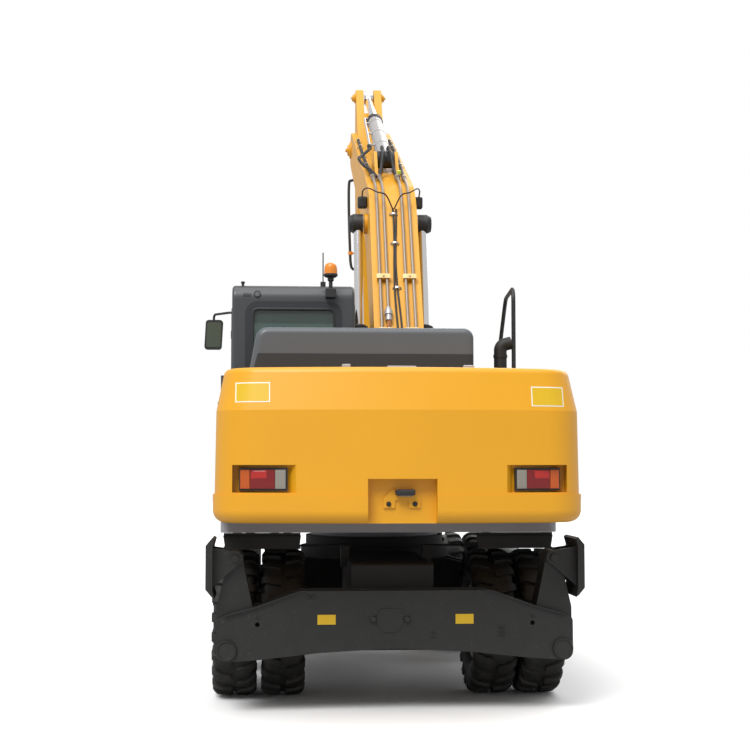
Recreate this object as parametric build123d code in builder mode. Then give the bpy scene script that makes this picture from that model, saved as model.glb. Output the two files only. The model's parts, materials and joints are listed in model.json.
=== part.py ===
from build123d import *
import os
from math import hypot

# Wheeled excavator, twenty tonne class, in millimetres.
# X is the machine's right, Y its front and Z up, with the origin on the ground under the slew axis.

# Fits and gaps shared by the pieces
seat_gap = 0.3
pin_fit = 0.05
side_gap = 8

# Door hinges: pin, sleeve half length, play along the pin, lug thickness and the root in the wall
hinge_pin = 5
hinge_out = 14
hinge_barrel = 9
hinge_half = 22
hinge_play = 1
hinge_lug = 10
hinge_root = 5
hinge_root_depth = 6
hinge_reach = 26
hood_hinge_places = (-960, -700)

# Wheels and axles
wheelbase = 2800
rear_axle_y = -1250
front_axle_y = rear_axle_y + wheelbase
tyre_radius = 525
tyre_width = 305
twin_gap = 40
wheel_outer_x = 1250
rim_seat_radius = 256
rim_flange_radius = 276
rim_flange_width = 16
rim_wall = 18
hub_radius = 165
hub_cover_radius = 120
hub_face_x = 585
hub_cover_x = 1120
rim_disc_width = 22
kingpin_x = 478
axle_tube_radius = 120
axle_head_radius = 150
axle_case_radius = 162
case_reach = axle_case_radius + seat_gap
gearbox_half_width = 150
gearbox_half_long = 260
gearbox_bottom = 400
shaft_radius = 44

# Tyre form in facets, whose radii count to the middle of a flat, and its lugs in two staggered rows
tyre_sides = 20
tyre_half = tyre_width / 2
tread_half = 134
tread_radius = 500
waist_radius = 400
bead_half = 94.5
bead_radius = rim_seat_radius + seat_gap
bead_top_radius = rim_flange_radius + 8
lug_top = tyre_radius - 4
lug_depth = 70
lug_inner_x = 7
lug_outer_x = tread_half + 8
lug_half_long = 36
lug_slant = 25

# Chassis frame
frame_half_width = 285
frame_bottom = 690
frame_top = 985
frame_rear_y = -1930
frame_front_y = 2200
turret_radius = 600
turret_bottom = 930
ring_bottom = 1020
ring_top = 1105
ring_radius = 560

# Rear stabilizer
beam_rear_y = -2200
beam_front_y = frame_rear_y - seat_gap
beam_plate = 28
leg_pin_x = 1135
leg_pin_z = 430
leg_pin_radius = 38
leg_outer_x = 1206
leg_gap = 9
lashing_hole_x = 929
lashing_hole_z = 600
lashing_hole_radius = 16
pad_pin_x = 1078
pad_pin_z = 1040
pad_plate = 46
pad_outer_x = 1274
pad_length_y = 430

# Upper structure
deck_bottom = 1190
deck_top = 1290
deck_half_width = 1200
deck_front_y = 1480
deck_right_front_y = 1210
deck_rear_y = -1700
ring_upper_radius = 520
tail_y = -2780
tail_front_y = -1720
tail_bottom = 1290
tail_band_top = 1474
tail_waist_z = 2020
tail_top = 2300
tail_half_band = 1224
tail_half_waist = 1212
tail_half_top = 1150
body_rear_y = tail_front_y + 12
cooler_front_y = -190
pump_front_y = -560
body_side_x = deck_half_width
body_inner_x = 640
body_top = 2300
bay_wall = 40
door_plate = 30
door_gap = 5
hood_wall = 30
hood_left_x = -1004
hood_right_x = 594
hood_top = 2640
hood_rear_y = -1800
hood_front_y = -440
hood_edge_round = 45
tail_bow = 158
tail_corner = 300
tail_low_round = 80
tail_top_round = 45

# Cab
cab_left_x = -1171
cab_right_x = -164
cab_rear_y = -100
cab_front_y = 1560
cab_floor = 1310
cab_roof = 3150
cab_wall = 46
cab_edge_round = 28
mirror_y = 1500
cab_hinge_out = 15
cab_hinge_y = 425
cab_hinge_heights = (1560, 2780)
cab_mount_radius = 60
cab_mount_inset = 150

# Working equipment, all about one plane
boom_x = 250
boom_width = 430
boom_foot = (200, 1950)
boom_tip = (4420, 5244)
boom_back_low = (25, 1990)
boom_back_bend = (1225, 4190)
boom_back_top = (4340, 5425)
boom_bend_radius = 700
boom_cylinder_foot = (950, 1520)
boom_cylinder_eye = (1500, 3923)
boom_cylinder_offset = 300
foot_bracket_half = 208
boom_tube_radius = 70
boom_rod_radius = 42
boom_tube_length = 1450
boom_rod_length = 1440
arm_cylinder_foot = (2075, 4651)
arm_cylinder_eye = (4750, 5929)
arm_tube_radius = 75
arm_rod_radius = 45
arm_tube_length = 1750
arm_rod_length = 1560
arm_width = 290
tip_pin_radius = 52
arm_lug_inner = 86
bucket_lug_inner = 72
lug_width = 30
arm_slot = 120
arm_tip = (4480, 2744)
arm_bulge = (4860, 5180)
bucket_cylinder_foot = (5030, 5000)
bucket_tube_radius = 62
bucket_rod_radius = 38
bucket_tube_length = 1230
bucket_rod_length = 1260
lever_pin = (4510, 3160)
link_pin = (5106, 3088)
bucket_pin = (4875, 2600)
bucket_width = 1100
bucket_wall = 26
ear_plate = 40

os.makedirs("parts", exist_ok=True)


def yz(x):
    """Plane across the machine at x, whose own axes are Y forward and Z up."""
    return Plane.YZ.offset(x)


def rounded(rows):
    """Face inside the closed outline through rows of across, up, corner radius."""
    with BuildLine(mode=Mode.PRIVATE) as edge_line:
        FilletPolyline(*[(a, b) for a, b, r in rows], radius=[r for a, b, r in rows], close=True)
    make_face(edge_line.edges())


def discs(rows):
    """Face of the hull around discs given by rows of across, up, radius."""
    with BuildSketch(mode=Mode.PRIVATE) as disc_sketch:
        for across, up, radius in rows:
            with Locations((across, up)):
                Circle(radius)
    make_hull(disc_sketch.sketch.edges())


def bar(plane, radius, length, place=(0, 0), mode=Mode.ADD):
    """Round bar of a length, raised from a plane at a place on it."""
    with BuildSketch(plane, mode=Mode.PRIVATE) as section:
        with Locations(place):
            Circle(radius)
    extrude(section.sketch, amount=length, mode=mode)


def span(start, end):
    """Length and unit direction from start to end in the Y Z plane."""
    length = hypot(end[0] - start[0], end[1] - start[1])
    return length, ((end[0] - start[0]) / length, (end[1] - start[1]) / length)


def along(start, end, distance):
    """Point at a distance from start towards end."""
    length, way = span(start, end)
    return (start[0] + way[0] * distance, start[1] + way[1] * distance)


def axis_plane(x, start, end, distance):
    """Plane square to the line from start to end, at a distance from start."""
    length, way = span(start, end)
    y, z = along(start, end, distance)
    return Plane(origin=(x, y, z), x_dir=(1, 0, 0), z_dir=(0, way[0], way[1]))


def level(z):
    """Level plane at a height."""
    return Plane.XY.offset(z)


def hinge_pins(plane_at, axis, root, places, barrel):
    """Fixed halves of the hinges on one axis: at each place along it a pin between two lugs rooted in a wall."""
    reach = hinge_half + hinge_play
    for place in places:
        for start in (place - reach - hinge_lug, place + reach):
            with BuildSketch(plane_at(start), mode=Mode.PRIVATE) as lug:
                discs((axis + (barrel,), root + (hinge_root,)))
            extrude(lug.sketch, amount=hinge_lug)
        bar(plane_at(place - reach), hinge_pin, 2 * reach, axis)


def hinge_sleeves(plane_at, axis, root, places, barrel):
    """Moving halves of the same hinges: at each place a sleeve on the pin, rooted in what swings."""
    for place in places:
        with BuildSketch(plane_at(place - hinge_half), mode=Mode.PRIVATE) as sleeve:
            discs((axis + (barrel,), root + (hinge_root,)))
            with Locations(axis):
                Circle(hinge_pin + pin_fit, mode=Mode.SUBTRACT)
        extrude(sleeve.sketch, amount=2 * hinge_half)


# Chassis frame: spine box, turret seat, outriggers to the step boxes and axle brackets
with BuildPart() as chassis_frame:
    with BuildSketch(yz(-frame_half_width)):
        rounded(
            (
                (frame_rear_y, 560, 30),
                (frame_rear_y + 260, 560, 60),
                (frame_rear_y + 420, frame_bottom, 60),
                (frame_front_y - 160, frame_bottom, 40),
                (frame_front_y, frame_bottom + 110, 40),
                (frame_front_y, frame_top - 40, 30),
                (frame_front_y - 260, frame_top, 60),
                (frame_rear_y, frame_top, 20),
            )
        )
    extrude(amount=2 * frame_half_width)
    with BuildSketch(Plane.XY.offset(turret_bottom)):
        Circle(turret_radius)
    extrude(amount=ring_bottom - turret_bottom)
    with BuildSketch(Plane.XY.offset(frame_bottom)):
        with Locations((0, 0)):
            Rectangle(2 * 470, 900)
    extrude(amount=turret_bottom - frame_bottom)
    for y in (-420, 380):
        with BuildSketch(Plane.XZ.offset(-y - 45)):
            Polygon((-930, 700), (930, 700), (930, 830), (560, 930), (-560, 930), (-930, 830), align=None)
        extrude(amount=90)
chassis_frame.part.label = "chassis_frame"
export_step(chassis_frame.part, "parts/chassis_frame.step")

# Slew ring, lower race, bolted on the turret seat
with BuildPart() as slew_ring:
    with BuildSketch(Plane.XY.offset(ring_bottom)):
        Circle(ring_radius)
        Circle(ring_radius - 140, mode=Mode.SUBTRACT)
    extrude(amount=ring_top - ring_bottom)
slew_ring.part.label = "slew_ring"
export_step(slew_ring.part, "parts/slew_ring.step")

# Axle beams: the rear one ends at the hub faces, the front one at the kingpin forks
axle_table = (("rear", rear_axle_y, hub_face_x - seat_gap), ("front", front_axle_y, kingpin_x - 100))
for place, axle_y, end_x in axle_table:
    with BuildPart() as axle:
        with BuildSketch(yz(-end_x)):
            with Locations((axle_y, tyre_radius)):
                Circle(axle_tube_radius)
        extrude(amount=2 * end_x)
        with BuildSketch(yz(-170)):
            with Locations((axle_y, tyre_radius)):
                Circle(axle_case_radius)
        extrude(amount=340)
        with BuildSketch(Plane.XY.offset(tyre_radius)):
            with Locations((0, axle_y)):
                Rectangle(420, 240)
        extrude(amount=frame_bottom - seat_gap - tyre_radius)
        if place == "rear":
            for side in (-1, 1):
                with BuildSketch(yz(side * (end_x - 90))):
                    with Locations((axle_y, tyre_radius)):
                        Circle(axle_head_radius)
                extrude(amount=side * 90)
        else:
            for side in (-1, 1):
                with BuildSketch(yz(side * (end_x - 60))):
                    with Locations((axle_y, tyre_radius)):
                        Rectangle(150, 330)
                extrude(amount=side * 60)
                for height, offset_z in ((tyre_radius + 120, 45), (tyre_radius - 165, 45)):
                    with BuildSketch(Plane.XY.offset(height)):
                        with Locations((side * (end_x + 20), axle_y)):
                            Rectangle(160, 150)
                        with Locations((side * kingpin_x, axle_y)):
                            Circle(75)
                    extrude(amount=offset_z)
                with BuildSketch(Plane.XY.offset(tyre_radius - 165)):
                    with Locations((side * kingpin_x, axle_y)):
                        Circle(30)
                extrude(amount=330)
    axle.part.label = f"{place}_axle"
    export_step(axle.part, f"parts/{place}_axle.step")

# Transfer gearbox under the frame and its two drive shafts
gearbox_top = frame_bottom - seat_gap
with BuildPart() as driveline:
    with BuildSketch(yz(-gearbox_half_width)):
        rounded(
            (
                (-gearbox_half_long, gearbox_bottom, 50),
                (gearbox_half_long, gearbox_bottom, 50),
                (gearbox_half_long - 40, gearbox_top, 30),
                (-gearbox_half_long + 40, gearbox_top, 30),
            )
        )
    extrude(amount=2 * gearbox_half_width)
    for start_y, end_y in ((rear_axle_y + case_reach, 0), (0, front_axle_y - case_reach)):
        bar(Plane.XZ.offset(-start_y), shaft_radius, start_y - end_y, (0, tyre_radius))
driveline.part.label = "driveline"
export_step(driveline.part, "parts/driveline.step")

# Steering knuckles, which turn on the kingpins and carry the front hubs
for side, name in ((-1, "left"), (1, "right")):
    with BuildPart() as knuckle:
        with BuildSketch(Plane.XY.offset(tyre_radius - 110)):
            with Locations((side * kingpin_x, front_axle_y)):
                Circle(62)
        extrude(amount=220)
        with BuildSketch(yz(side * (kingpin_x + 20))):
            with Locations((front_axle_y, tyre_radius)):
                Circle(105)
        extrude(amount=side * (hub_face_x - seat_gap - kingpin_x - 20))
        with BuildSketch(Plane.XY.offset(tyre_radius - 110)):
            Polygon(
                (side * (kingpin_x - 40), front_axle_y),
                (side * (kingpin_x + 50), front_axle_y),
                (side * (kingpin_x + 20), front_axle_y - 230),
                (side * (kingpin_x - 30), front_axle_y - 230),
                align=None,
            )
        extrude(amount=40)
        with Locations((side * kingpin_x, front_axle_y, tyre_radius)):
            Cylinder(30 + pin_fit, 240, mode=Mode.SUBTRACT)
    knuckle.part.label = f"knuckle_{name}"
    export_step(knuckle.part, f"parts/knuckle_{name}.step")

# Steering rod behind the front axle, which slides across in its cylinder
with BuildPart() as steering_rod:
    with BuildSketch(yz(-390)):
        with Locations((front_axle_y - 205, tyre_radius - 90)):
            Circle(18)
    extrude(amount=780)
steering_rod.part.label = "steering_rod"
export_step(steering_rod.part, "parts/steering_rod.step")

with BuildPart() as steering_cylinder:
    with BuildSketch(yz(-190)):
        with Locations((front_axle_y - 205, tyre_radius - 90)):
            Circle(38)
            Circle(18 + pin_fit, mode=Mode.SUBTRACT)
    extrude(amount=380)
    with BuildSketch(yz(-60)):
        rounded(
            (
                (front_axle_y - 180, tyre_radius - 112, 4),
                (front_axle_y - 100, tyre_radius - 112, 4),
                (front_axle_y - 100, tyre_radius - 60, 4),
                (front_axle_y - 180, tyre_radius - 60, 4),
            )
        )
    extrude(amount=120)
    bar(yz(-60), axle_case_radius + seat_gap, 120, (front_axle_y, tyre_radius), Mode.SUBTRACT)
steering_cylinder.part.label = "steering_cylinder"
export_step(steering_cylinder.part, "parts/steering_cylinder.step")


def facet_disc(x, radius):
    """Many-sided disc on the plane at x, with flats at a radius from the wheel axis."""
    with BuildSketch(yz(x), mode=Mode.PRIVATE) as disc:
        RegularPolygon(radius, tyre_sides, major_radius=False, rotation=180 / tyre_sides)
    return disc.sketch


def lug_planes(start_angle):
    """Planes on the tops of the lugs of one row, all round the wheel axis from a start angle in degrees."""
    planes = []
    for number in range(tyre_sides):
        way = Vector(0, 0, 1).rotate(Axis.X, start_angle + number * 360 / tyre_sides)
        planes.append(Plane(origin=way * lug_top, x_dir=(1, 0, 0), z_dir=way))
    return planes


# One tyre about the X axis: tread, shoulders and sidewalls in facets, then two rows of slanting lugs
with BuildPart() as tyre_form:
    extrude(facet_disc(-tread_half, tread_radius), amount=2 * tread_half)
    for side in (-1, 1):
        shoulder = (facet_disc(side * tread_half, tread_radius), facet_disc(side * tyre_half, waist_radius))
        loft(shoulder, ruled=True)
        sidewall = (facet_disc(side * tyre_half, waist_radius), facet_disc(side * bead_half, bead_top_radius))
        loft(sidewall, ruled=True, mode=Mode.SUBTRACT)
    extrude(facet_disc(-bead_half, bead_radius), amount=2 * bead_half, mode=Mode.SUBTRACT)
    for side, start_angle in ((-1, 0), (1, 180 / tyre_sides)):
        with BuildSketch(*lug_planes(start_angle)):
            Polygon(
                (side * lug_inner_x, -lug_slant - lug_half_long),
                (side * lug_outer_x, lug_slant - lug_half_long),
                (side * lug_outer_x, lug_slant + lug_half_long),
                (side * lug_inner_x, -lug_slant + lug_half_long),
                align=None,
            )
        extrude(amount=-lug_depth)

# Twin wheels: rows of place and axle position, then of side and name
tyre_mid = (wheel_outer_x - tyre_half, wheel_outer_x - tyre_width * 1.5 - twin_gap)
for place, axle_y in (("rear", rear_axle_y), ("front", front_axle_y)):
    for side, name in ((-1, "left"), (1, "right")):
        wheel_plane = Plane(origin=(0, axle_y, tyre_radius), x_dir=(side, 0, 0), z_dir=(0, side, 0))
        with BuildPart() as tyres:
            with Locations(*[(side * mid_x, axle_y, tyre_radius) for mid_x in tyre_mid]):
                add(tyre_form.part)
        tyres.part.label = f"tyres_{place}_{name}"
        export_step(tyres.part, f"parts/tyres_{place}_{name}.step")
        with BuildPart() as rims:
            for mid_x in tyre_mid:
                with BuildSketch(wheel_plane):
                    seat_half = bead_half - seat_gap
                    edge_half = seat_half + rim_flange_width
                    Polygon(
                        (mid_x - edge_half, rim_seat_radius - rim_wall),
                        (mid_x - edge_half, rim_flange_radius),
                        (mid_x - seat_half - 4, rim_flange_radius),
                        (mid_x - seat_half - 4, rim_seat_radius),
                        (mid_x + seat_half + 4, rim_seat_radius),
                        (mid_x + seat_half + 4, rim_flange_radius),
                        (mid_x + edge_half, rim_flange_radius),
                        (mid_x + edge_half, rim_seat_radius - rim_wall),
                        align=None,
                    )
                revolve(axis=Axis((0, axle_y, tyre_radius), (1, 0, 0)))
            with BuildSketch(wheel_plane):
                disc_x = tyre_mid[0] - 60
                Polygon(
                    (hub_face_x, 0),
                    (hub_face_x, hub_radius),
                    (tyre_mid[1] + 75, hub_radius),
                    (tyre_mid[1] + 75, rim_seat_radius - 10),
                    (tyre_mid[1] + 97, rim_seat_radius - 10),
                    (tyre_mid[1] + 97, rim_seat_radius - 40),
                    (disc_x, rim_seat_radius - 40),
                    (disc_x, rim_seat_radius - 10),
                    (disc_x + rim_disc_width, rim_seat_radius - 10),
                    (disc_x + rim_disc_width, hub_cover_radius + 20),
                    (hub_cover_x - 40, hub_cover_radius),
                    (hub_cover_x, hub_cover_radius - 40),
                    (hub_cover_x, 0),
                    align=None,
                )
            revolve(axis=Axis((0, axle_y, tyre_radius), (1, 0, 0)))
        rims.part.label = f"rims_{place}_{name}"
        export_step(rims.part, f"parts/rims_{place}_{name}.step")

# Mudguards: a flat over each twin pair with an upright plate behind the rear pairs
with BuildPart() as mudguards:
    for side in (-1, 1):
        with BuildSketch(Plane.XY.offset(tyre_radius * 2 + 22)):
            with Locations((side * 905, rear_axle_y)):
                Rectangle(550, 740)
            with Locations((side * 520, rear_axle_y)):
                Rectangle(480, 160)
        extrude(amount=8)
        with BuildSketch(Plane.XZ.offset(-rear_axle_y + 370)):
            Polygon(
                (side * 640, tyre_radius * 2 + 22),
                (side * (deck_half_width - 35), tyre_radius * 2 + 22),
                (side * (deck_half_width - 20), deck_bottom - 22),
                (side * 628, deck_bottom - 22),
                align=None,
            )
        extrude(amount=8)
        with BuildSketch(Plane.XY.offset(frame_top - 60)):
            with Locations((side * 300, rear_axle_y)):
                Rectangle(60, 160)
        extrude(amount=tyre_radius * 2 + 30 - frame_top + 60)
        with Locations((side * (frame_half_width / 2), rear_axle_y, frame_top - 30)):
            Box(frame_half_width, 200, 60, mode=Mode.SUBTRACT)
mudguards.part.label = "mudguards"
export_step(mudguards.part, "parts/mudguards.step")

# Step boxes between the wheels, with two treads below each
with BuildPart() as step_boxes:
    for side in (-1, 1):
        with BuildSketch(Plane.XZ.offset(690)):
            rounded(
                (
                    (side * 930.3, 640, 15),
                    (side * 1210, 640, 30),
                    (side * 1210, 985, 20),
                    (side * 930.3, 985, 15),
                )
            )
        extrude(amount=-1330)
        for tread_z in (600, 380):
            with BuildSketch(Plane.XY.offset(tread_z)):
                with Locations((side * 1130, -20)):
                    Rectangle(190, 460)
            extrude(amount=25)
        for y in (-242, 202):
            with BuildSketch(yz(side * 1110)):
                with Locations((y, 510)):
                    Rectangle(24, 300)
            extrude(amount=side * 60)
step_boxes.part.label = "step_boxes"
export_step(step_boxes.part, "parts/step_boxes.step")

# Rear stabilizer beam: two shaped plates with a core between them, and the leg pins at the ends
beam_outline = (
    (-leg_outer_x, 347, 60),
    (-930, 364, 60),
    (-520, 408, 100),
    (0, 436, 400),
    (520, 408, 100),
    (930, 364, 60),
    (leg_outer_x, 347, 60),
    (leg_outer_x, 640, 40),
    (930, 716, 60),
    (633, 821, 40),
    (-633, 821, 40),
    (-930, 716, 60),
    (-leg_outer_x, 640, 40),
)
with BuildPart() as stabilizer_beam:
    for plate_y in (beam_rear_y, beam_front_y - beam_plate):
        with BuildSketch(Plane.XZ.offset(-plate_y)):
            rounded(beam_outline)
        extrude(amount=-beam_plate)
    with BuildSketch(Plane.XZ.offset(-beam_rear_y - beam_plate + 1)):
        rounded(((-560, 420, 60), (560, 420, 60), (560, 800, 60), (-560, 800, 60)))
    extrude(amount=-(beam_front_y - beam_rear_y - 2 * beam_plate + 2))
    for side in (-1, 1):
        with BuildSketch(Plane.XZ.offset(-beam_rear_y + 14)):
            with Locations((side * leg_pin_x, leg_pin_z)):
                Circle(62)
        extrude(amount=-14)
        with BuildSketch(Plane.XZ.offset(-beam_rear_y)):
            with Locations((side * leg_pin_x, leg_pin_z)):
                Circle(leg_pin_radius)
        extrude(amount=-(beam_front_y - beam_rear_y))
    for side in (-1, 1):
        with BuildSketch(Plane.XZ.offset(-beam_rear_y)):
            with Locations((side * lashing_hole_x, lashing_hole_z)):
                Circle(lashing_hole_radius)
        extrude(amount=-beam_plate, mode=Mode.SUBTRACT)
stabilizer_beam.part.label = "stabilizer_beam"
export_step(stabilizer_beam.part, "parts/stabilizer_beam.step")

# Stabilizer legs, folded up, and the pads that fold against them
leg_depth = beam_front_y - beam_rear_y - 2 * beam_plate - 2 * leg_gap
leg_rear_y = beam_rear_y + beam_plate + leg_gap
for side, name in ((-1, "left"), (1, "right")):
    with BuildPart() as leg:
        with BuildSketch(Plane.XZ.offset(-leg_rear_y)):
            discs(
                (
                    (side * leg_pin_x, leg_pin_z, 70),
                    (side * 1040, 640, 90),
                    (side * 1130, 700, 74),
                    (side * pad_pin_x, pad_pin_z, 46),
                )
            )
            with Locations((side * leg_pin_x, leg_pin_z)):
                Circle(leg_pin_radius + pin_fit, mode=Mode.SUBTRACT)
        extrude(amount=-leg_depth)
        with Locations((side * pad_pin_x, leg_rear_y + leg_depth / 2, pad_pin_z)):
            Cylinder(24, pad_length_y * 0.75, rotation=(90, 0, 0))
    leg.part.label = f"stabilizer_leg_{name}"
    export_step(leg.part, f"parts/stabilizer_leg_{name}.step")
    with BuildPart() as pad:
        with BuildSketch(Plane.XZ.offset(-leg_rear_y - leg_depth / 2 + pad_length_y / 2)):
            Polygon(
                (side * (pad_outer_x - pad_plate), 828),
                (side * (pad_outer_x - 60), 778),
                (side * (pad_outer_x - 42), 790),
                (side * pad_outer_x, 840),
                (side * pad_outer_x, 1130),
                (side * (pad_outer_x - 42), 1180),
                (side * (pad_outer_x - 60), 1168),
                (side * (pad_outer_x - pad_plate), 1118),
                align=None,
            )
        extrude(amount=-pad_length_y)
        for rib_y in (leg_rear_y - leg_gap - 26, leg_rear_y + leg_depth + leg_gap):
            with BuildSketch(Plane.XZ.offset(-rib_y)):
                Polygon(
                    (side * (pad_outer_x - pad_plate + 1), 1110),
                    (side * (pad_outer_x - pad_plate + 1), 850),
                    (side * (pad_pin_x - 10), pad_pin_z - 50),
                    (side * (pad_pin_x - 10), pad_pin_z + 46),
                    align=None,
                )
                with Locations((side * pad_pin_x, pad_pin_z)):
                    Circle(50)
                    Circle(24 + pin_fit, mode=Mode.SUBTRACT)
            extrude(amount=-26)
    pad.part.label = f"stabilizer_pad_{name}"
    export_step(pad.part, f"parts/stabilizer_pad_{name}.step")

# Swing frame: deck, turntable boss, boom lugs and the bracket for the boom cylinders
lug_inner = boom_width / 2 + side_gap
lug_plate = 40
with BuildPart() as swing_frame:
    with BuildSketch(Plane.XY.offset(deck_bottom)):
        rounded(
            (
                (-deck_half_width, deck_rear_y, 60),
                (deck_half_width, deck_rear_y, 60),
                (deck_half_width, deck_right_front_y, 60),
                (boom_x + 380, deck_right_front_y, 30),
                (boom_x + 300, deck_front_y - 420, 60),
                (cab_right_x + 70, deck_front_y - 420, 60),
                (cab_right_x, deck_front_y, 60),
                (-deck_half_width + 40, deck_front_y, 60),
            )
        )
    extrude(amount=deck_top - deck_bottom)
    with BuildSketch(Plane.XY.offset(ring_top + seat_gap)):
        Circle(ring_upper_radius)
    extrude(amount=deck_bottom - ring_top - seat_gap)
    for offset_x in (-lug_inner - lug_plate, lug_inner):
        with BuildSketch(yz(boom_x + offset_x)):
            rounded(
                (
                    (-680, deck_top - 10, 5),
                    (620, deck_top - 10, 5),
                    (380, 2080, 150),
                    (60, 2140, 130),
                    (-120, 1900, 80),
                )
            )
        extrude(amount=lug_plate)
    for mount_x in (cab_left_x + cab_mount_inset, cab_right_x - cab_mount_inset):
        for mount_y in (cab_rear_y + cab_mount_inset, deck_front_y - cab_mount_inset):
            bar(Plane.XY.offset(deck_top - 1), cab_mount_radius, cab_floor - seat_gap - deck_top + 1, (mount_x, mount_y))
    with BuildSketch(yz(boom_x - foot_bracket_half)):
        discs(((boom_cylinder_foot[0], boom_cylinder_foot[1], 85), (820, 1330, 60), (980, 1330, 60)))
    extrude(amount=2 * foot_bracket_half)
    with BuildSketch(yz(boom_x - foot_bracket_half)):
        rounded(((560, deck_top - 10, 5), (1040, deck_top - 10, 5), (1020, 1480, 60), (880, 1480, 60)))
    extrude(amount=2 * foot_bracket_half)
    with BuildSketch(yz(boom_x - lug_inner - lug_plate)):
        with Locations(boom_foot):
            Circle(50)
    extrude(amount=2 * (lug_inner + lug_plate))
    with BuildSketch(yz(boom_x - boom_cylinder_offset - 60)):
        with Locations(boom_cylinder_foot):
            Circle(40)
    extrude(amount=2 * (boom_cylinder_offset + 60))
swing_frame.part.label = "swing_frame"
export_step(swing_frame.part, "parts/swing_frame.step")


def tail_outline(half_width, rear_y, corner):
    """Plan outline of the counterweight: bowed rear face, rounded corners and straight front."""
    with BuildSketch(mode=Mode.PRIVATE) as plan:
        with BuildLine():
            ThreePointArc((-half_width, rear_y + tail_bow), (0, rear_y), (half_width, rear_y + tail_bow))
            Polyline(
                (half_width, rear_y + tail_bow),
                (half_width, tail_front_y),
                (-half_width, tail_front_y),
                (-half_width, rear_y + tail_bow),
            )
        make_face()
        fillet(plan.vertices().group_by(Axis.Y)[0], corner)
    add(plan.sketch)


lamp_recess_low = 1488
lamp_recess_high = 1666
lamp_recess_inner_x = 603
lamp_floor_inner = (720, tail_y + 115)
lamp_floor_outer = (1060, tail_y + 255)
lamp_recess_outer_x = 1091
lamp_low_x = 735
lamp_high_x = 1047


def lamp_floor(x):
    """Y of the sloping floor of a lamp recess, at a distance x from the middle."""
    (x0, y0), (x1, y1) = lamp_floor_inner, lamp_floor_outer
    return y0 + (x - x0) * (y1 - y0) / (x1 - x0)


# Counterweight: lower band, belly and drawn-in top, with lamp recesses and the plate recess
with BuildPart() as counterweight:
    with BuildSketch(Plane.XY.offset(tail_bottom)):
        tail_outline(tail_half_band, tail_y, tail_corner)
    extrude(amount=tail_band_top - tail_bottom)
    fillet(counterweight.edges().group_by(Axis.Z)[0].sort_by(Axis.Y)[:-1], tail_low_round)
    with BuildSketch(Plane.XY.offset(tail_band_top)):
        tail_outline(tail_half_waist, tail_y + 8, tail_corner)
    with BuildSketch(Plane.XY.offset(tail_waist_z)):
        tail_outline(tail_half_waist - 8, tail_y + 12, tail_corner)
    loft()
    with BuildSketch(Plane.XY.offset(tail_waist_z)):
        tail_outline(tail_half_waist - 8, tail_y + 12, tail_corner)
    with BuildSketch(Plane.XY.offset(tail_top)):
        tail_outline(tail_half_top, tail_y + 70, tail_corner)
    loft()
    fillet(counterweight.edges().group_by(Axis.Z)[-1].sort_by(Axis.Y)[:-1], tail_top_round)
    for side in (-1, 1):
        with BuildSketch(Plane.XY.offset(lamp_recess_low)):
            Polygon(
                (side * lamp_recess_inner_x, tail_y - 50),
                (side * lamp_recess_outer_x, tail_y - 50),
                (side * lamp_recess_outer_x, lamp_floor_outer[1]),
                (side * lamp_floor_outer[0], lamp_floor_outer[1]),
                (side * lamp_floor_inner[0], lamp_floor_inner[1]),
                align=None,
            )
        extrude(amount=lamp_recess_high - lamp_recess_low, mode=Mode.SUBTRACT)
    with BuildSketch(Plane.XY.offset(tail_bottom - 10)):
        with Locations((0, tail_y)):
            Rectangle(446, 200)
    extrude(amount=1577 - tail_bottom + 10, mode=Mode.SUBTRACT)
counterweight.part.label = "counterweight"
export_step(counterweight.part, "parts/counterweight.step")

# Engine, one plain block on the deck across the tail
with BuildPart() as engine:
    with BuildSketch(Plane.XY.offset(deck_top)):
        with Locations((-130, -1080)):
            Rectangle(960, 700)
    extrude(amount=880)
engine.part.label = "engine"
export_step(engine.part, "parts/engine.step")

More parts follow.
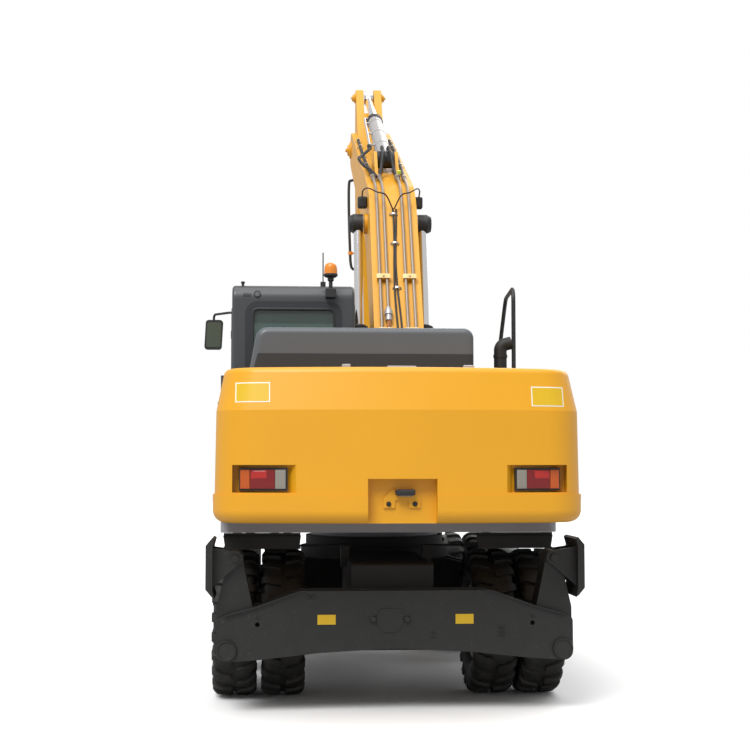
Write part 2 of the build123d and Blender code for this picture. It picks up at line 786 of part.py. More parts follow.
# Side housings: left cooler bay and right pump bay, walled boxes that are open at the side behind a door
# Rows of name, side, front Y and the way the door lies from its hinge: forward or back
bay_table = (("cooler", -1, cooler_front_y, 1), ("pump", 1, pump_front_y, -1))
bay_wide = body_side_x - body_inner_x
bay_hinge_heights = (1500, 2080)
hood_hinge = (hood_front_y + hinge_out, body_top + hinge_out)
hood_rest_root = (hood_front_y + hinge_out, body_top - hinge_root_depth)
hood_root = (hood_front_y - hinge_root_depth, body_top + hinge_out + 16)
slat_pitch = 62
for bay, side, high_y, door_way in bay_table:
    bay_long = high_y - body_rear_y
    mid_y = (body_rear_y + high_y) / 2
    mid_x = side * (body_inner_x + body_side_x) / 2
    height = body_top - deck_top - seat_gap
    mid_z = deck_top + seat_gap + height / 2
    hinge_y = mid_y - door_way * (bay_long / 2 - bay_wall - door_gap / 2)
    hinge_axis = (side * (body_side_x + hinge_out), hinge_y)
    wall_root = (side * (body_side_x - hinge_root_depth), hinge_y - door_way * hinge_reach)
    door_root = (side * (body_side_x - hinge_root_depth), hinge_y + door_way * hinge_reach)
    with BuildPart() as housing:
        with Locations((mid_x, mid_y, mid_z)):
            Box(bay_wide, bay_long, height)
        with Locations((mid_x + side * bay_wall, mid_y, mid_z)):
            Box(bay_wide, bay_long - 2 * bay_wall, height - 2 * bay_wall, mode=Mode.SUBTRACT)
        hinge_pins(level, hinge_axis, wall_root, bay_hinge_heights, hinge_barrel)
        if bay == "cooler":
            hinge_pins(yz, hood_hinge, hood_rest_root, hood_hinge_places, hinge_barrel)
    housing.part.label = f"{bay}_housing"
    export_step(housing.part, f"parts/{bay}_housing.step")
    door_long = bay_long - 2 * bay_wall - 2 * door_gap
    door_high = height - 2 * bay_wall - 2 * door_gap
    with BuildPart() as bay_door:
        with Locations((side * (body_side_x - door_plate / 2), mid_y, mid_z)):
            Box(door_plate, door_long, door_high)
        with Locations((side * (body_side_x + 2), mid_y, mid_z + 60)):
            Box(door_plate, door_long * 0.6, door_high * 0.5, mode=Mode.SUBTRACT)
        for slat in range(int(door_high * 0.5 / slat_pitch)):
            slat_z = mid_z + 60 - door_high * 0.25 + 15 + slat * slat_pitch
            with BuildSketch(Plane.XZ.offset(-mid_y + door_long * 0.3)):
                Polygon(
                    (side * (body_side_x - door_plate / 2), slat_z + 26),
                    (side * (body_side_x - 2), slat_z),
                    (side * (body_side_x - 2), slat_z + 9),
                    (side * (body_side_x - door_plate / 2), slat_z + 35),
                    align=None,
                )
            extrude(amount=-door_long * 0.6)
        hinge_sleeves(level, hinge_axis, door_root, bay_hinge_heights, hinge_barrel)
    bay_door.part.label = f"door_{bay}"
    export_step(bay_door.part, f"parts/door_{bay}.step")

# Tank housing ahead of the pump bay, closed, with the two steps up to it
with BuildPart() as tank_housing:
    with BuildSketch(yz(body_inner_x)):
        rounded(((-552, deck_top + seat_gap, 5), (1190, deck_top + seat_gap, 5), (1190, 1560, 60), (900, 1560, 5),
                 (900, 1840, 60), (620, 1840, 5), (620, 2150, 80), (-552, 2150, 20)))
    extrude(amount=bay_wide)
tank_housing.part.label = "tank_housing"
export_step(tank_housing.part, "parts/tank_housing.step")

# Engine hood, a shell that lies on the counterweight's front edge and on the bays
with BuildPart() as hood:
    for inset, mode in ((0, Mode.ADD), (hood_wall, Mode.SUBTRACT)):
        with BuildSketch(Plane.XZ.offset(-hood_rear_y - inset), mode=Mode.PRIVATE) as hood_section:
            rounded(
                (
                    (hood_left_x + inset, body_top + seat_gap, 0),
                    (hood_right_x - inset, body_top + seat_gap, 0),
                    (hood_right_x - inset, hood_top - inset, 70),
                    (hood_left_x + 60 + inset, hood_top - inset, 90),
                )
            )
        extrude(hood_section.sketch, amount=-(hood_front_y - hood_rear_y - 2 * inset), mode=mode)
        if mode == Mode.ADD:
            rear_rim = hood.faces().sort_by(Axis.Y)[0].edges().sort_by(Axis.Z)[1:]
            fillet(rear_rim, hood_edge_round)
    hinge_sleeves(yz, hood_hinge, hood_root, hood_hinge_places, hinge_barrel)
hood.part.label = "hood"
export_step(hood.part, "parts/hood.step")

# Cab: side outline, hollowed, with its window openings; each opening is a plane, an outline and a wall depth
cab_outline = (
    (cab_rear_y, cab_floor, 30),
    (cab_front_y - 80, cab_floor, 80),
    (cab_front_y, 1700, 200),
    (cab_front_y - 230, cab_roof, 150),
    (cab_rear_y, cab_roof, 120),
)
cab_width = cab_right_x - cab_left_x
cab_mid_x = (cab_left_x + cab_right_x) / 2
screen_plane = Plane(origin=(cab_mid_x, cab_front_y - 115, 2425), x_dir=(1, 0, 0), z_dir=(0, 1450, 230))
rear_plane = Plane.XZ.offset(-cab_rear_y)
door_rows = ((430, 1345, 40), (1452, 1345, 60), (1500, 1700, 120), (1306, 3000, 60), (430, 3000, 40))
door_glass_rows = ((500, 2010, 60), (1420, 2010, 60), (1270, 2930, 50), (500, 2930, 50))
window_table = (
    ("rear", rear_plane, ((-1000, 2400, 50), (-333, 2400, 50), (-333, 2947, 50), (-1000, 2947, 50)), -1),
    ("right", yz(cab_right_x), ((10, 1900, 60), (1440, 1900, 60), (1270, 3000, 60), (10, 3000, 60)), -1),
    ("left", yz(cab_left_x), ((10, 2010, 60), (370, 2010, 60), (370, 2960, 50), (10, 2960, 50)), 1),
    ("screen", screen_plane, ((-425, -560, 60), (425, -560, 60), (425, 690, 60), (-425, 690, 60)), -1),
    ("roof", Plane.XY.offset(cab_roof), ((-1000, 500, 60), (-335, 500, 60), (-335, 1000, 60), (-1000, 1000, 60)), -1),
)
cab_hinge_axis = (cab_left_x - cab_hinge_out, cab_hinge_y)
cab_wall_root = (cab_left_x + hinge_root_depth, cab_hinge_y - hinge_reach)
cab_door_root = (cab_left_x + hinge_root_depth, cab_hinge_y + hinge_reach + 10)
with BuildPart() as cab_shell:
    with BuildSketch(yz(cab_left_x)):
        rounded(cab_outline)
    extrude(amount=cab_width)
    side_rims = cab_shell.faces().filter_by(Axis.X).edges()
    fillet(side_rims, cab_edge_round)
    with BuildSketch(yz(cab_left_x + cab_wall)):
        rounded(cab_outline)
        offset(amount=-cab_wall, mode=Mode.REPLACE)
    extrude(amount=cab_width - 2 * cab_wall, mode=Mode.SUBTRACT)
    for name, plane, rows, way in window_table:
        with BuildSketch(plane.offset(-way * 60)):
            rounded(rows)
        extrude(amount=way * 130, mode=Mode.SUBTRACT)
    with BuildSketch(yz(cab_left_x - 10)):
        rounded(door_rows)
    extrude(amount=cab_wall + 30, mode=Mode.SUBTRACT)
    hinge_pins(level, cab_hinge_axis, cab_wall_root, cab_hinge_heights, hinge_barrel)
cab_shell.part.label = "cab_shell"
export_step(cab_shell.part, "parts/cab_shell.step")

with BuildPart() as cab_glass:
    for name, plane, rows, way in window_table:
        with BuildSketch(plane.offset(way * 16)):
            rounded(rows)
            offset(amount=-seat_gap, mode=Mode.REPLACE)
        extrude(amount=way * 6)
cab_glass.part.label = "cab_glass"
export_step(cab_glass.part, "parts/cab_glass.step")

# Cab door with its glass
with BuildPart() as cab_door:
    with BuildSketch(yz(cab_left_x)):
        rounded(door_rows)
        offset(amount=-door_gap, mode=Mode.REPLACE)
    extrude(amount=cab_wall)
    with BuildSketch(yz(cab_left_x)):
        rounded(door_glass_rows)
    extrude(amount=cab_wall, mode=Mode.SUBTRACT)
    hinge_sleeves(level, cab_hinge_axis, cab_door_root, cab_hinge_heights, hinge_barrel)
cab_door.part.label = "cab_door"
export_step(cab_door.part, "parts/cab_door.step")

with BuildPart() as cab_door_glass:
    with BuildSketch(yz(cab_left_x + 16)):
        rounded(door_glass_rows)
        offset(amount=-seat_gap, mode=Mode.REPLACE)
    extrude(amount=6)
cab_door_glass.part.label = "cab_door_glass"
export_step(cab_door_glass.part, "parts/cab_door_glass.step")

# Seat on its pedestal
cab_floor_top = cab_floor + cab_wall + seat_gap
with BuildPart() as seat:
    with BuildSketch(yz(cab_mid_x - 160)):
        rounded(((330, cab_floor_top, 10), (730, cab_floor_top, 10), (690, 1690, 30), (370, 1690, 30)))
    extrude(amount=320)
    with BuildSketch(yz(cab_mid_x - 250)):
        rounded(((290, 1680, 30), (810, 1680, 50), (810, 1810, 50), (400, 1800, 60), (330, 2420, 60), (210, 2420, 50)))
    extrude(amount=500)
    with BuildSketch(yz(cab_mid_x - 140)):
        rounded(((190, 2400, 30), (310, 2400, 30), (290, 2640, 50), (180, 2640, 50)))
    extrude(amount=280)
seat.part.label = "seat"
export_step(seat.part, "parts/seat.step")

# Side consoles with levers, and the steering column with its wheel
with BuildPart() as cab_controls:
    for side in (-1, 1):
        with BuildSketch(yz(cab_mid_x + side * 270)):
            rounded(((240, cab_floor_top, 10), (600, cab_floor_top, 10), (900, 1830, 30), (880, 1920, 30), (240, 1900, 30)))
        extrude(amount=side * 90)
        with Locations((cab_mid_x + side * 315, 830, 1985)):
            Cylinder(18, 150)
    with BuildSketch(yz(cab_mid_x - 60)):
        rounded(((1180, cab_floor_top, 10), (1360, cab_floor_top, 10), (1190, 2040, 30), (1090, 2010, 30)))
    extrude(amount=120)
    wheel_plane = Plane(origin=(cab_mid_x, 1120, 2030), x_dir=(1, 0, 0), z_dir=(0, -0.45, 0.9))
    with BuildSketch(wheel_plane):
        Circle(180)
        Circle(152, mode=Mode.SUBTRACT)
        Rectangle(320, 40)
        Circle(45)
    extrude(amount=24, both=True)
cab_controls.part.label = "cab_controls"
export_step(cab_controls.part, "parts/cab_controls.step")

# Roof pieces: beacon with its stem and box, antenna
beacon_x = -365
with BuildPart() as beacon:
    with Locations((beacon_x, cab_rear_y - 40, 3075)):
        Box(86, 79.4, 80)
    with Locations((beacon_x, cab_rear_y - 40, 3160)):
        Cylinder(16, 110)
    with Locations((beacon_x, cab_rear_y - 40, 3220)):
        Cylinder(58, 26)
    with BuildSketch(Plane.YZ.offset(beacon_x), mode=Mode.PRIVATE) as dome:
        Polygon((cab_rear_y - 40, 3230), (cab_rear_y + 13, 3230), (cab_rear_y + 10, 3300), (cab_rear_y - 10, 3324),
                (cab_rear_y - 40, 3328), align=None)
    revolve(dome.sketch, axis=Axis((beacon_x, cab_rear_y - 40, 0), (0, 0, 1)))
beacon.part.label = "beacon"
export_step(beacon.part, "parts/beacon.step")

with BuildPart() as antenna:
    with Locations((-362 - 60, cab_rear_y + 140, cab_roof + seat_gap + 20)):
        Cylinder(22, 40)
    with Locations((-362 - 60, cab_rear_y + 140, cab_roof + 150)):
        Cylinder(5, 270)
antenna.part.label = "antenna"
export_step(antenna.part, "parts/antenna.step")

# Left mirror on its arm from the cab's front post
with BuildPart() as mirror_left:
    with BuildSketch(Plane.XZ.offset(-mirror_y + 22)):
        rounded(((-1470, 2735, 30), (-1310, 2735, 30), (-1296, 3010, 30), (-1456, 3010, 30)))
    extrude(amount=-44)
    with BuildLine():
        FilletPolyline((cab_left_x - seat_gap, 1305, 3060), (cab_left_x - 60, 1305, 3060),
                       (-1383, mirror_y, 3060), (-1383, mirror_y, 2990), radius=30)
    with BuildSketch(Plane(origin=(cab_left_x - seat_gap, 1305, 3060), z_dir=(-1, 0, 0))):
        Circle(11)
    sweep()
mirror_left.part.label = "mirror_left"
export_step(mirror_left.part, "parts/mirror_left.step")

with BuildPart() as handrail_right:
    rail_x = 1090
    with BuildLine():
        FilletPolyline((rail_x, -480, 2150 + seat_gap), (rail_x, -480, 3090), (rail_x + 60, 300, 3090),
                       (rail_x, 560, 2320), (rail_x, 560, 2150 + seat_gap), radius=(110, 110, 60))
    with BuildSketch(Plane.XY.offset(2150 + seat_gap)):
        with Locations((rail_x, -480)):
            Circle(17)
    sweep()
handrail_right.part.label = "handrail_right"
export_step(handrail_right.part, "parts/handrail_right.step")

# Exhaust stack behind the pump bay, bent open to the right
with BuildPart() as exhaust:
    with BuildLine():
        FilletPolyline((826, -1500, body_top + seat_gap), (826, -1500, 2540), (905, -1500, 2560), radius=45)
    with BuildSketch(Plane.XY.offset(body_top + seat_gap)):
        with Locations((826, -1500)):
            Circle(47)
            Circle(40, mode=Mode.SUBTRACT)
    sweep()
exhaust.part.label = "exhaust"
export_step(exhaust.part, "parts/exhaust.step")

# Tail lamps in their recesses, each with three raised lenses by rows of start and end along its face from inside
lamp_low_y = tail_y + 85
lamp_high_y = tail_y + 180
lens_table = ((0.04, 0.24), (0.26, 0.76), (0.78, 0.96))
lens_rise = 8
face_long = hypot(lamp_high_x - lamp_low_x, lamp_high_y - lamp_low_y)
face_out = ((lamp_high_y - lamp_low_y) / face_long, (lamp_low_x - lamp_high_x) / face_long)


def lamp_face(side, share, out):
    """Point on a tail lamp's face at a share of its length from the inner end, and a distance out from it."""
    x = lamp_low_x + (lamp_high_x - lamp_low_x) * share + face_out[0] * out
    y = lamp_low_y + (lamp_high_y - lamp_low_y) * share + face_out[1] * out
    return (side * x, y)


with BuildPart() as tail_lamps:
    for side in (-1, 1):
        with BuildSketch(Plane.XY.offset(lamp_recess_low + 13)):
            Polygon(
                (side * lamp_low_x, lamp_low_y),
                (side * lamp_high_x, lamp_high_y),
                (side * lamp_high_x, lamp_floor(lamp_high_x) - seat_gap),
                (side * lamp_low_x, lamp_floor(lamp_low_x) - seat_gap),
                align=None,
            )
        extrude(amount=146)
        for low, high in lens_table:
            with BuildSketch(Plane.XY.offset(lamp_recess_low + 27)):
                Polygon(
                    lamp_face(side, low, -2),
                    lamp_face(side, high, -2),
                    lamp_face(side, high, lens_rise),
                    lamp_face(side, low, lens_rise),
                    align=None,
                )
            extrude(amount=118)
tail_lamps.part.label = "tail_lamps"
export_step(tail_lamps.part, "parts/tail_lamps.step")

# Number plate bracket with its lamp
with BuildPart() as plate_bracket:
    with BuildSketch(Plane.XZ.offset(-tail_y - 100 + seat_gap)):
        rounded(((-120, 1390, 5), (-45, 1390, 5), (-45, 1440, 5), (45, 1440, 5), (45, 1390, 5), (120, 1390, 5),
                 (120, 1450, 5), (60, 1510, 10), (-60, 1510, 10), (-120, 1450, 5)))
    extrude(amount=12)
    with Locations((20, tail_y + 60, 1490)):
        Box(120, 60, 36)
plate_bracket.part.label = "plate_bracket"
export_step(plate_bracket.part, "parts/plate_bracket.step")

# Boom: side outline with foot boss, bend and forked tip
fork_depth = 450
with BuildPart() as boom:
    with BuildSketch(yz(boom_x - boom_width / 2)):
        rounded(
            (
                boom_back_low + (0,),
                boom_back_bend + (boom_bend_radius,),
                boom_back_top + (0,),
                (4500, 5070, 0),
                (1720, 3790, 900),
                (360, 1880, 0),
            )
        )
        with Locations(boom_foot):
            Circle(175)
        with Locations(boom_tip):
            Circle(190)
    extrude(amount=boom_width)
    for side in (-1, 1):
        with BuildSketch(yz(boom_x + side * boom_width / 2)):
            with Locations(boom_cylinder_eye):
                Circle(95)
        extrude(amount=side * 28)
    fork_plane = Plane(origin=(boom_x, boom_tip[0], boom_tip[1]), x_dir=(1, 0, 0), z_dir=(0, 0.9225, 0.386))
    with BuildSketch(fork_plane.offset(-fork_depth)):
        Rectangle(arm_width + 2 * side_gap, 1200)
    extrude(amount=fork_depth + 300, mode=Mode.SUBTRACT)
    bar(yz(boom_x - boom_width / 2), tip_pin_radius, boom_width, boom_tip)
    with BuildSketch(yz(boom_x - boom_width / 2)):
        with Locations(boom_foot):
            Circle(50 + pin_fit)
    extrude(amount=boom_width, mode=Mode.SUBTRACT)
    for offset_x in (-arm_lug_inner - lug_width, arm_lug_inner):
        with BuildSketch(yz(boom_x + offset_x)):
            discs(((arm_cylinder_foot[0], arm_cylinder_foot[1], 80), (1860, 4420, 40), (2330, 4600, 40)))
        extrude(amount=lug_width)
    bar(yz(boom_x - arm_lug_inner - lug_width), 35, 2 * (arm_lug_inner + lug_width), arm_cylinder_foot)
boom.part.label = "boom"
export_step(boom.part, "parts/boom.step")

# Steel pipes along the boom's back and over its bend, with their clamp bars and end couplings
back_way = span(boom_back_low, boom_back_bend)[1]
top_way = span(boom_back_bend, boom_back_top)[1]
pipe_radius = 13
pipe_lift = 32
pipe_start = 380
pipe_past_bend = 450
coupling_radius = 20
coupling_long = 70
clamp_distances = (980, 1780)
bend_share = pipe_lift / (1 + back_way[0] * top_way[0] + back_way[1] * top_way[1])
pipe_bend = (
    boom_back_bend[0] - bend_share * (back_way[1] + top_way[1]),
    boom_back_bend[1] + bend_share * (back_way[0] + top_way[0]),
)
back_start = along(boom_back_low, boom_back_bend, pipe_start)
pipe_low = (back_start[0] - pipe_lift * back_way[1], back_start[1] + pipe_lift * back_way[0])
pipe_high = (pipe_bend[0] + pipe_past_bend * top_way[0], pipe_bend[1] + pipe_past_bend * top_way[1])
with BuildPart() as boom_pipes:
    for offset_x in (-150, -88, 78, 145):
        pipe_x = boom_x + offset_x
        with BuildLine(mode=Mode.PRIVATE) as pipe_line:
            FilletPolyline((pipe_x,) + pipe_low, (pipe_x,) + pipe_bend, (pipe_x,) + pipe_high,
                           radius=boom_bend_radius + pipe_lift)
        with BuildSketch(axis_plane(pipe_x, pipe_low, pipe_bend, 0)):
            Circle(pipe_radius)
        sweep(path=pipe_line.wire())
        bar(axis_plane(pipe_x, pipe_low, pipe_bend, 0), coupling_radius, coupling_long)
        bar(axis_plane(pipe_x, pipe_bend, pipe_high, pipe_past_bend - coupling_long), coupling_radius, coupling_long)
    for clamp_distance in clamp_distances:
        y, z = along(boom_back_low, boom_back_bend, clamp_distance)
        for offset_x in (-119, 112):
            with BuildSketch(Plane(origin=(boom_x + offset_x, y, z), x_dir=(1, 0, 0),
                                   z_dir=(0, -back_way[1], back_way[0])).offset(seat_gap)):
                Rectangle(110, 40)
            extrude(amount=48)
boom_pipes.part.label = "boom_pipes"
export_step(boom_pipes.part, "parts/boom_pipes.step")

with BuildPart() as work_lamps:
    for side in (-1, 1):
        with Locations((boom_x + side * (boom_width / 2 + seat_gap + 45), 1480, 4120)):
            Box(90, 80, 110)
work_lamps.part.label = "work_lamps"
export_step(work_lamps.part, "parts/work_lamps.step")


def tube_body(middle_x, foot, eye, tube_radius, rod_radius, tube_length, eye_radius, eye_width, pin_radius):
    """Solids of a cylinder tube: eye at its foot, barrel, gland and the bore for the rod."""
    bar(yz(middle_x - eye_width / 2), eye_radius, eye_width, foot)
    bar(axis_plane(middle_x, foot, eye, eye_radius * 0.6), tube_radius, tube_length - eye_radius * 0.6)
    bar(axis_plane(middle_x, foot, eye, tube_length - 90), tube_radius + 8, 90)
    bar(axis_plane(middle_x, foot, eye, eye_radius + 30), rod_radius + seat_gap, tube_length, mode=Mode.SUBTRACT)
    bar(yz(middle_x - eye_width / 2), pin_radius + pin_fit, eye_width, foot, Mode.SUBTRACT)


def rod_body(middle_x, foot, eye, rod_radius, rod_length, eye_radius, eye_width):
    """Solids of a piston rod with its eye."""
    reach = span(foot, eye)[0]
    bar(axis_plane(middle_x, foot, eye, reach - rod_length), rod_radius, rod_length - eye_radius * 0.5)
    bar(yz(middle_x - eye_width / 2), eye_radius, eye_width, eye)


# Boom cylinders, a pair of tubes and a pair of rods
with BuildPart() as boom_cylinder_tubes:
    for side in (-1, 1):
        tube_body(boom_x + side * boom_cylinder_offset, boom_cylinder_foot, boom_cylinder_eye,
                  boom_tube_radius, boom_rod_radius, boom_tube_length, 85, 90, 40)
boom_cylinder_tubes.part.label = "boom_cylinder_tubes"
export_step(boom_cylinder_tubes.part, "parts/boom_cylinder_tubes.step")

with BuildPart() as boom_cylinder_rods:
    for side in (-1, 1):
        rod_body(boom_x + side * boom_cylinder_offset, boom_cylinder_foot, boom_cylinder_eye,
                 boom_rod_radius, boom_rod_length, 88, 90)
        with BuildSketch(yz(boom_x + side * boom_cylinder_offset)):
            with Locations(boom_cylinder_eye):
                Circle(60)
        extrude(amount=side * 78)
boom_cylinder_rods.part.label = "boom_cylinder_rods"
export_step(boom_cylinder_rods.part, "parts/boom_cylinder_rods.step")

# Arm cylinder on the boom's back
with BuildPart() as arm_cylinder_tube:
    tube_body(boom_x, arm_cylinder_foot, arm_cylinder_eye, arm_tube_radius, arm_rod_radius, arm_tube_length,
              80, 2 * arm_lug_inner - 10, 35)
arm_cylinder_tube.part.label = "arm_cylinder_tube"
export_step(arm_cylinder_tube.part, "parts/arm_cylinder_tube.step")

with BuildPart() as arm_cylinder_rod:
    rod_body(boom_x, arm_cylinder_foot, arm_cylinder_eye, arm_rod_radius, arm_rod_length, 80, 100)
arm_cylinder_rod.part.label = "arm_cylinder_rod"
export_step(arm_cylinder_rod.part, "parts/arm_cylinder_rod.step")

# Arm: hull of tail, boom pin boss, back and tip, with a slot in the tail and the bucket cylinder's lugs
with BuildPart() as arm:
    with BuildSketch(yz(boom_x - arm_width / 2)):
        discs(
            (
                (arm_cylinder_eye[0], arm_cylinder_eye[1], 95),
                (boom_tip[0], boom_tip[1], 190),
                (arm_bulge[0], arm_bulge[1], 60),
                (arm_tip[0], arm_tip[1], 130),
            )
        )
    extrude(amount=arm_width)
    tail_plane = axis_plane(boom_x, boom_tip, arm_cylinder_eye, 430)
    with BuildSketch(tail_plane):
        Rectangle(arm_slot, 900)
    extrude(amount=600, mode=Mode.SUBTRACT)
    bar(yz(boom_x - arm_width / 2), tip_pin_radius + pin_fit, arm_width, boom_tip, Mode.SUBTRACT)
    for offset_x in (-bucket_lug_inner - lug_width, bucket_lug_inner):
        with BuildSketch(yz(boom_x + offset_x)):
            discs(((bucket_cylinder_foot[0], bucket_cylinder_foot[1], 70), (4850, 5150, 40), (4820, 4850, 40)))
        extrude(amount=lug_width)
    bar(yz(boom_x - bucket_lug_inner - lug_width), 32, 2 * (bucket_lug_inner + lug_width), bucket_cylinder_foot)
    with BuildSketch(yz(boom_x - arm_width / 2 - 60)):
        with Locations(lever_pin):
            Circle(32)
    extrude(amount=arm_width + 120)
    with BuildSketch(yz(boom_x - arm_width / 2 - 60)):
        with Locations(arm_tip):
            Circle(36)
    extrude(amount=arm_width + 120)
arm.part.label = "arm"
export_step(arm.part, "parts/arm.step")

# Bucket cylinder on the arm's front
with BuildPart() as bucket_cylinder_tube:
    tube_body(boom_x, bucket_cylinder_foot, link_pin, bucket_tube_radius, bucket_rod_radius, bucket_tube_length,
              70, 2 * bucket_lug_inner - 10, 32)
bucket_cylinder_tube.part.label = "bucket_cylinder_tube"
export_step(bucket_cylinder_tube.part, "parts/bucket_cylinder_tube.step")

with BuildPart() as bucket_cylinder_rod:
    rod_body(boom_x, bucket_cylinder_foot, link_pin, bucket_rod_radius, bucket_rod_length, 70, 100)
bucket_cylinder_rod.part.label = "bucket_cylinder_rod"
export_step(bucket_cylinder_rod.part, "parts/bucket_cylinder_rod.step")

# Tipping levers on both sides of the arm, joined by the pin that carries the link
with BuildPart() as tipping_levers:
    for low_x in (boom_x - arm_width / 2 - side_gap - 40, boom_x + arm_width / 2 + side_gap):
        with BuildSketch(yz(low_x)):
            discs(((lever_pin[0], lever_pin[1], 75), (link_pin[0], link_pin[1], 75)))
            with Locations(lever_pin):
                Circle(32 + pin_fit, mode=Mode.SUBTRACT)
        extrude(amount=40)
    for side in (-1, 1):
        with BuildSketch(yz(boom_x + side * 65)):
            with Locations(link_pin):
                Circle(32)
        extrude(amount=side * (arm_width / 2 + side_gap + 10 - 65))
tipping_levers.part.label = "tipping_levers"
export_step(tipping_levers.part, "parts/tipping_levers.step")

# Link from the levers down to the bucket, an H shape on the lever pin
with BuildPart() as bucket_link:
    for low_x in (-125, 75):
        with BuildSketch(yz(boom_x + low_x)):
            discs(((link_pin[0], link_pin[1], 70), (bucket_pin[0], bucket_pin[1], 70)))
            with Locations(link_pin):
                Circle(32 + pin_fit, mode=Mode.SUBTRACT)
        extrude(amount=50)
    with BuildSketch(yz(boom_x - 100)):
        with Locations(along(link_pin, bucket_pin, 410)):
            Circle(45)
    extrude(amount=200)
bucket_link.part.label = "bucket_link"
export_step(bucket_link.part, "parts/bucket_link.step")

# Bucket: side outline, hollowed towards its mouth, with ears, lip and teeth
bucket_rows = (
    (4330, 2560, 0),
    (3800, 1590, 0),
    (4150, 1360, 60),
    (4720, 1400, 500),
    (5120, 2000, 420),
    (4990, 2330, 120),
)
mouth_way = span(bucket_rows[1][:2], bucket_rows[0][:2])[1]
bucket_half = bucket_width / 2
with BuildPart() as bucket:
    with BuildSketch(yz(boom_x - bucket_half)):
        rounded(bucket_rows)
    extrude(amount=bucket_width)
    with BuildSketch(yz(boom_x - bucket_half + bucket_wall)):
        rounded(bucket_rows)
        offset(amount=-bucket_wall, mode=Mode.REPLACE)
    extrude(amount=bucket_width - 2 * bucket_wall, mode=Mode.SUBTRACT)
    mouth_plane = Plane(origin=(boom_x, bucket_rows[1][0], bucket_rows[1][1]), x_dir=(1, 0, 0),
                        z_dir=(0, mouth_way[0], mouth_way[1]))
    mouth_long = span(bucket_rows[1][:2], bucket_rows[0][:2])[0]
    with BuildSketch(mouth_plane.offset(bucket_wall)):
        Rectangle(bucket_width - 2 * bucket_wall, 300)
    extrude(amount=mouth_long - 2 * bucket_wall, mode=Mode.SUBTRACT)
    for low_x in (-arm_width / 2 - side_gap - ear_plate, arm_width / 2 + side_gap):
        with BuildSketch(yz(boom_x + low_x)):
            discs(((arm_tip[0], arm_tip[1], 90), (bucket_pin[0], bucket_pin[1], 85), (4480, 2480, 40), (4940, 2330, 40)))
            with Locations(arm_tip):
                Circle(36 + pin_fit, mode=Mode.SUBTRACT)
        extrude(amount=ear_plate)
    for side in (-1, 1):
        with BuildSketch(yz(boom_x + side * 133)):
            with Locations(bucket_pin):
                Circle(32)
        extrude(amount=side * (arm_width / 2 + side_gap + 10 - 133))
    for tooth in range(5):
        tooth_x = boom_x - bucket_half + 60 + tooth * (bucket_width - 120) / 4
        with BuildSketch(yz(tooth_x - 40)):
            Polygon((3870, 1610), (3930, 1480), (3700, 1440), (3690, 1455), align=None)
        extrude(amount=80)
bucket.part.label = "bucket"
export_step(bucket.part, "parts/bucket.step")
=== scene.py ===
"""Wheeled excavator: finishes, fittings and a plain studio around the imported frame, in metres."""

from __future__ import annotations

import json
import logging
import math
from collections.abc import Sequence
from dataclasses import dataclass, field
from enum import Enum

import bpy
import numpy as np
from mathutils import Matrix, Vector
from mathutils.bvhtree import BVHTree
from numpy.typing import NDArray

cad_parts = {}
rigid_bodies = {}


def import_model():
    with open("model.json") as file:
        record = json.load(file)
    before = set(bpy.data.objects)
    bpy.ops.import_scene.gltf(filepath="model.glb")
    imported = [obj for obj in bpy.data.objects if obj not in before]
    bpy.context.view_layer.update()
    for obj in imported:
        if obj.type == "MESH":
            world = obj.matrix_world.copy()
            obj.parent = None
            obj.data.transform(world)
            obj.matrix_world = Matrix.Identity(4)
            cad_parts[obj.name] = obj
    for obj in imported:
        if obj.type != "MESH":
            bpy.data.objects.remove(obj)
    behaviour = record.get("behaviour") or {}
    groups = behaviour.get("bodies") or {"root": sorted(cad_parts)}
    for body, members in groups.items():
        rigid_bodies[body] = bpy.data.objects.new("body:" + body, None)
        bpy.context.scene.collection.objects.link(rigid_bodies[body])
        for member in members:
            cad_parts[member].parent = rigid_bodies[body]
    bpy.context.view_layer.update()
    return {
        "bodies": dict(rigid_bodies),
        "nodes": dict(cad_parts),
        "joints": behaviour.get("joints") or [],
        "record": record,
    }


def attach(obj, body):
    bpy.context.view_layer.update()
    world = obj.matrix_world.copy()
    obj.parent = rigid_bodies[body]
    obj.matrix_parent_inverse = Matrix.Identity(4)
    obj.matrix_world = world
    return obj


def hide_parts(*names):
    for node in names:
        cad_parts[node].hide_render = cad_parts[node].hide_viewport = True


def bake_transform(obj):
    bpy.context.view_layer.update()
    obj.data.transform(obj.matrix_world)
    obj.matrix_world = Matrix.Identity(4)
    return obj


Array = NDArray[np.float64]
Point = tuple[float, float, float]
Flat = tuple[float, float]
Outline = tuple[Flat, ...]
Rows = Array | Sequence[Sequence[float]]
Feeds = dict[str | int, object]
log = logging.getLogger("excavator")

CAMERA_PLACE = (-0.82, -12.25, 1.65)
CAMERA_PITCH_UP = 3.56
CAMERA_YAW_RIGHT = 3.87
CAMERA_LENS = 71.3
BOOM_X = 0.25
BOOM_BACK_LOW = (0.025, 1.990)
BOOM_BEND = (1.225, 4.190)
BOOM_TOP_END = (4.340, 5.425)
BOOM_BEND_RADIUS = 0.700
AXLE_Y = {"rear": -1.250, "front": 1.550}
TYRE_RADIUS = 0.525
TYRE_MIDS = (1.0975, 0.7525)
RAY_START_Y = -6.0
CUSHION_POWER = 0.42
CUSHION_CELLS = (25, 56)
SIDES = ((-1, "left"), (1, "right"))
COAT_ROUGHNESS = 0.12
RELIEF_GAIN = 6
RELIEF_DEPTH = 0.004
FINE_NOISE_TIMES = 4.7
DUST_ROUGHNESS = 0.45


